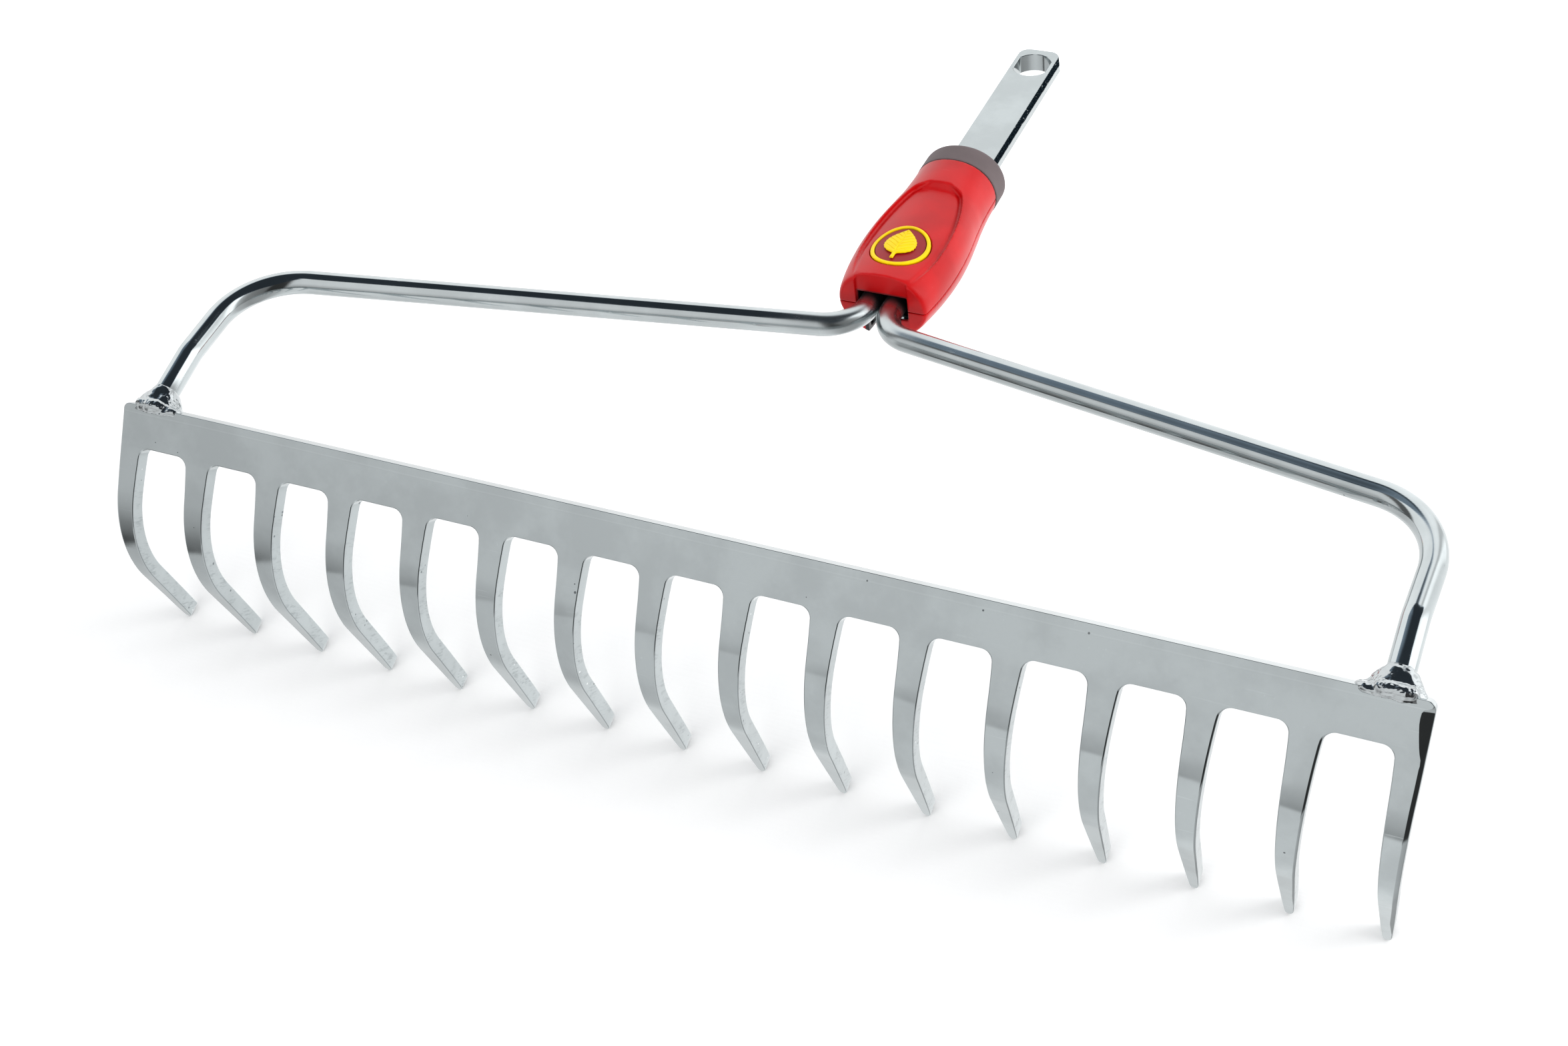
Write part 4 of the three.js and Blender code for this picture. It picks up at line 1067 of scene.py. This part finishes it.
        # outer walls only, not the walls of the hole
        wall = net.math("MULTIPLY", wall, net.math("GREATER_THAN", net.math("ABSOLUTE", s3.outputs[0]), 0.0070))
        # upper half of the outer walls: a rough fracture zone with grit and specks, and its near-black colour and
        # darkened specular tint are a painted dark reflection
        wav = net.math("MULTIPLY", net.math("SUBTRACT", net.noise(net.scaled(hc, (0, 160, 0)), 1.0, 3, 0.6), 0.5), 0.0012)
        upper = net.step(net.math("ADD", s3.outputs[2], wav), -0.0042, -0.0036)
        torn = net.math("MULTIPLY", wall, upper)
        grit = net.noise(hc, 1500, 3, 0.7)
        fracture_tone_and_dark_reflection = net.colour(net.step(grit, 0.50, 0.72), (0.028, 0.037, 0.043, 1), (0.15, 0.17, 0.18, 1))
        sp = speck(net, hc, 900, 0.25, 0.10)
        fracture_tone_and_dark_reflection = net.colour(sp, fracture_tone_and_dark_reflection, (0.65, 0.68, 0.68, 1))
        col = net.colour(torn, col, fracture_tone_and_dark_reflection)
        net.join(net.colour(torn, (1, 1, 1, 1), (0.22, 0.25, 0.27, 1)), b.inputs["Specular Tint"])
        r = net.math("ADD", r, net.math("MULTIPLY", torn, 0.22))
        height = net.math("ADD", height, net.math("MULTIPLY", net.math("MULTIPLY", torn, grit), 0.05))
    net.join(col, b.inputs["Base Color"])
    net.join(net.math("MINIMUM", r, 0.8), b.inputs["Roughness"])
    bump = net.new("ShaderNodeBump")
    bump.inputs["Strength"].default_value = 1.0
    bump.inputs["Distance"].default_value = 0.001
    net.join(height, bump.inputs["Height"])
    net.join(bump.outputs[0], b.inputs["Normal"])
    return mat


def plastic(name, base, rough, spec=0.4, grain=0.012, wear=0.5, glance=(1, 1, 1), hollow=False):
    mat, net, b = material(name)
    tc, hc = handle_coord(net)
    cloud = net.noise(tc, 70, 3, 0.55)
    fine = net.noise(tc, 2600, 2, 0.6)
    dust = speck(net, tc, 330, 0.07, 0.10)
    sc1 = net.noise(net.scaled(tc, (60, 1500, 900), rot=(0.4, 0.9, 0.3)), 1.0, 2, 0.5)
    scr = net.math("MULTIPLY", net.step(sc1, 0.71, 0.74), net.step(cloud, 0.5, 0.6))
    dark = (*[c * 0.88 for c in base], 1)
    light = (*[min(1, c * 1.07) for c in base], 1)
    col = net.colour(net.step(cloud, 0.3, 0.7), dark, light)
    pale = (*[min(1, c * 0.9 + 0.10) for c in base], 1)
    col = net.colour(net.math("MULTIPLY", scr, 0.4 * wear), col, pale)
    col = net.colour(net.math("MULTIPLY", dust, 0.45 * wear), col, (*[c * 0.55 for c in base], 1))
    if hollow:
        # painted shade: the walls inside the mouth are painted dark by choice, so the plated rods
        #         # don't mirror the red shell; the photograph only shows that it is dark in there
        s3 = net.new("ShaderNodeSeparateXYZ")
        net.join(hc, s3.inputs[0])
        off = net.math("ABSOLUTE", s3.outputs[0])
        wob = net.math("MULTIPLY", cloud, 0.0014)
        depth = net.step(net.math("ADD", s3.outputs[1], wob), -0.1640, -0.1615)
        level = net.math("MULTIPLY", net.math("LESS_THAN", s3.outputs[2], 0.0022), net.math("GREATER_THAN", s3.outputs[2], -0.0143))
        room = net.math("MULTIPLY", net.math("MULTIPLY", net.math("LESS_THAN", off, 0.0097), level), depth)
        notch = net.math("MULTIPLY", net.math("LESS_THAN", off, 0.0067), net.math("LESS_THAN", s3.outputs[2], -0.0064))
        mouth_shade = net.math("MAXIMUM", room, net.math("MULTIPLY", notch, net.step(s3.outputs[1], -0.1675, -0.1645)))
        col = net.colour(mouth_shade, col, (0.020, 0.022, 0.024, 1))
    net.join(col, b.inputs["Base Color"])
    r = net.mix(cloud, rough * 0.88, rough * 1.14)
    r = net.math("ADD", r, net.math("MULTIPLY", scr, 0.12))
    net.join(r, b.inputs["Roughness"])
    b.inputs["Specular IOR Level"].default_value = spec
    b.inputs["Specular Tint"].default_value = (*glance, 1)
    b.inputs["IOR"].default_value = 1.48
    h = net.math("MULTIPLY", fine, grain)
    h = net.math("ADD", h, net.math("MULTIPLY", net.noise(tc, 160, 2, 0.5), grain * 1.4))
    h = net.math("ADD", h, net.math("MULTIPLY", dust, 0.01))
    bump = net.new("ShaderNodeBump")
    bump.inputs["Strength"].default_value = 1.0
    bump.inputs["Distance"].default_value = 0.001
    net.join(h, bump.inputs["Height"])
    net.join(bump.outputs[0], b.inputs["Normal"])
    return mat


mat_blade = steel("plated_blade", rough=0.062, wave=0.035, pits=0.13, kind="blade")
mat_rod = steel("plated_rod", base=(0.50, 0.54, 0.55), rough=0.085, wave=0.02, pits=0.05, scratches=0.7, kind="rod")
mat_tang = steel("plated_tang", base=(0.452, 0.492, 0.502), rough=0.13, wave=0.03, pits=0.06, kind="tang")
mat_weld = steel("plated_weld", base=(0.47, 0.50, 0.51), rough=0.10, wave=0.12, pits=0.14, scratches=0.2)
mat_screw = steel("zinc_screw", base=(0.34, 0.35, 0.36), rough=0.3, wave=0.03, pits=0.1)
mat_red = plastic("red_plastic", (0.48, 0.003, 0.004), 0.30, 0.33, glance=(1.0, 0.78, 0.82), hollow=True)
mat_dark_red = plastic("dark_red_plastic", (0.27, 0.007, 0.012), 0.38, 0.35, glance=(1.0, 0.7, 0.72))
mat_yellow = plastic("yellow_plastic", (0.86, 0.60, 0.0), 0.42, 0.3, glance=(1.0, 0.9, 0.5))
mat_grey = plastic("grey_plastic", (0.128, 0.100, 0.103), 0.62, 0.3, grain=0.03, wear=0.3)


def dress(ob, mat):
    if len(ob.data.materials) == 0:
        ob.data.materials.append(mat)
    for i in range(len(ob.data.materials)):
        ob.data.materials[i] = mat
    for s_ in ob.material_slots:
        s_.material = mat


dress(placed(blade, "blade_steel", "rake_blade"), mat_blade)
dress(placed(rod_left, "rod_steel", "bow_rod_left"), mat_rod)
dress(placed(rod_right, "rod_steel", "bow_rod_right"), mat_rod)
dress(placed(bead_left, "weld_metal", "blade_weld_left"), mat_weld)
dress(placed(bead_right, "weld_metal", "blade_weld_right"), mat_weld)
dress(placed(tang, "tang_steel", "tang"), mat_tang)
dress(placed(cover_upper, "red_plastic", "housing_upper_shell"), mat_red)
dress(placed(cover_lower, "red_plastic", "housing_lower_shell"), mat_red)
dress(placed(collar, "grey_plastic", "end_collar"), mat_grey)
dress(placed(badge_field, "dark_red_plastic", "emblem_base"), mat_dark_red)
dress(placed(badge_ring, "yellow_plastic", "emblem_ring"), mat_yellow)
dress(placed(badge_leaf, "yellow_plastic", "emblem_motif"), mat_yellow)
for node in ("rod_weld_left", "rod_weld_right", "rod_seam_weld"):
    for s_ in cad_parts[node].material_slots:
        s_.material = mat_weld
for node in ("housing_screw_rear", "housing_screw_left", "housing_screw_right"):
    for s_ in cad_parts[node].material_slots:
        s_.material = mat_screw

# ------------------------------------------------------------------ floor


def build_floor():
    n, half = 60, 4.0
    g = np.linspace(-1, 1, n + 1)
    g = np.sign(g) * np.abs(g) ** 1.8 * half
    pts = [(x, y, -0.00003) for y in g for x in g]
    faces = [(j * (n + 1) + i, j * (n + 1) + i + 1, (j + 1) * (n + 1) + i + 1, (j + 1) * (n + 1) + i) for j in range(n) for i in range(n)]
    me = bpy.data.meshes.new("floor")
    me.from_pydata(pts, [], faces)
    me.shade_smooth()
    ob = bpy.data.objects.new("floor", me)
    scene.collection.objects.link(ob)
    mat, net, b = material("pale_floor")
    tc = net.new("ShaderNodeTexCoord").outputs["Object"]
    soft = net.noise(tc, 9, 3, 0.5)
    col = net.colour(soft, (0.90, 0.90, 0.90, 1), (0.94, 0.94, 0.94, 1))
    net.join(col, b.inputs["Base Color"])
    # the sweep is lit from within towards the back
    s3 = net.new("ShaderNodeSeparateXYZ")
    net.join(tc, s3.inputs[0])
    b.inputs["Emission Color"].default_value = (1, 1, 1, 1)
    net.join(net.step(s3.outputs[1], -0.14, 0.12, 0.0, 0.75), b.inputs["Emission Strength"])
    b.inputs["Roughness"].default_value = 0.95
    b.inputs["Specular IOR Level"].default_value = 0.05
    a1 = net.noise(net.scaled(tc, (900, 120, 1)), 1.0, 2, 0.5)
    a2 = net.noise(net.scaled(tc, (120, 900, 1)), 1.0, 2, 0.5)
    h = net.math("MULTIPLY", net.math("ADD", a1, a2), 0.10)
    h = net.math("ADD", h, net.math("MULTIPLY", net.noise(tc, 22, 3, 0.5), 1.2))
    bump = net.new("ShaderNodeBump")
    bump.inputs["Strength"].default_value = 0.6
    bump.inputs["Distance"].default_value = 0.001
    net.join(h, bump.inputs["Height"])
    net.join(bump.outputs[0], b.inputs["Normal"])
    me.materials.append(mat)
    ob.visible_glossy = False
    return ob


build_floor()
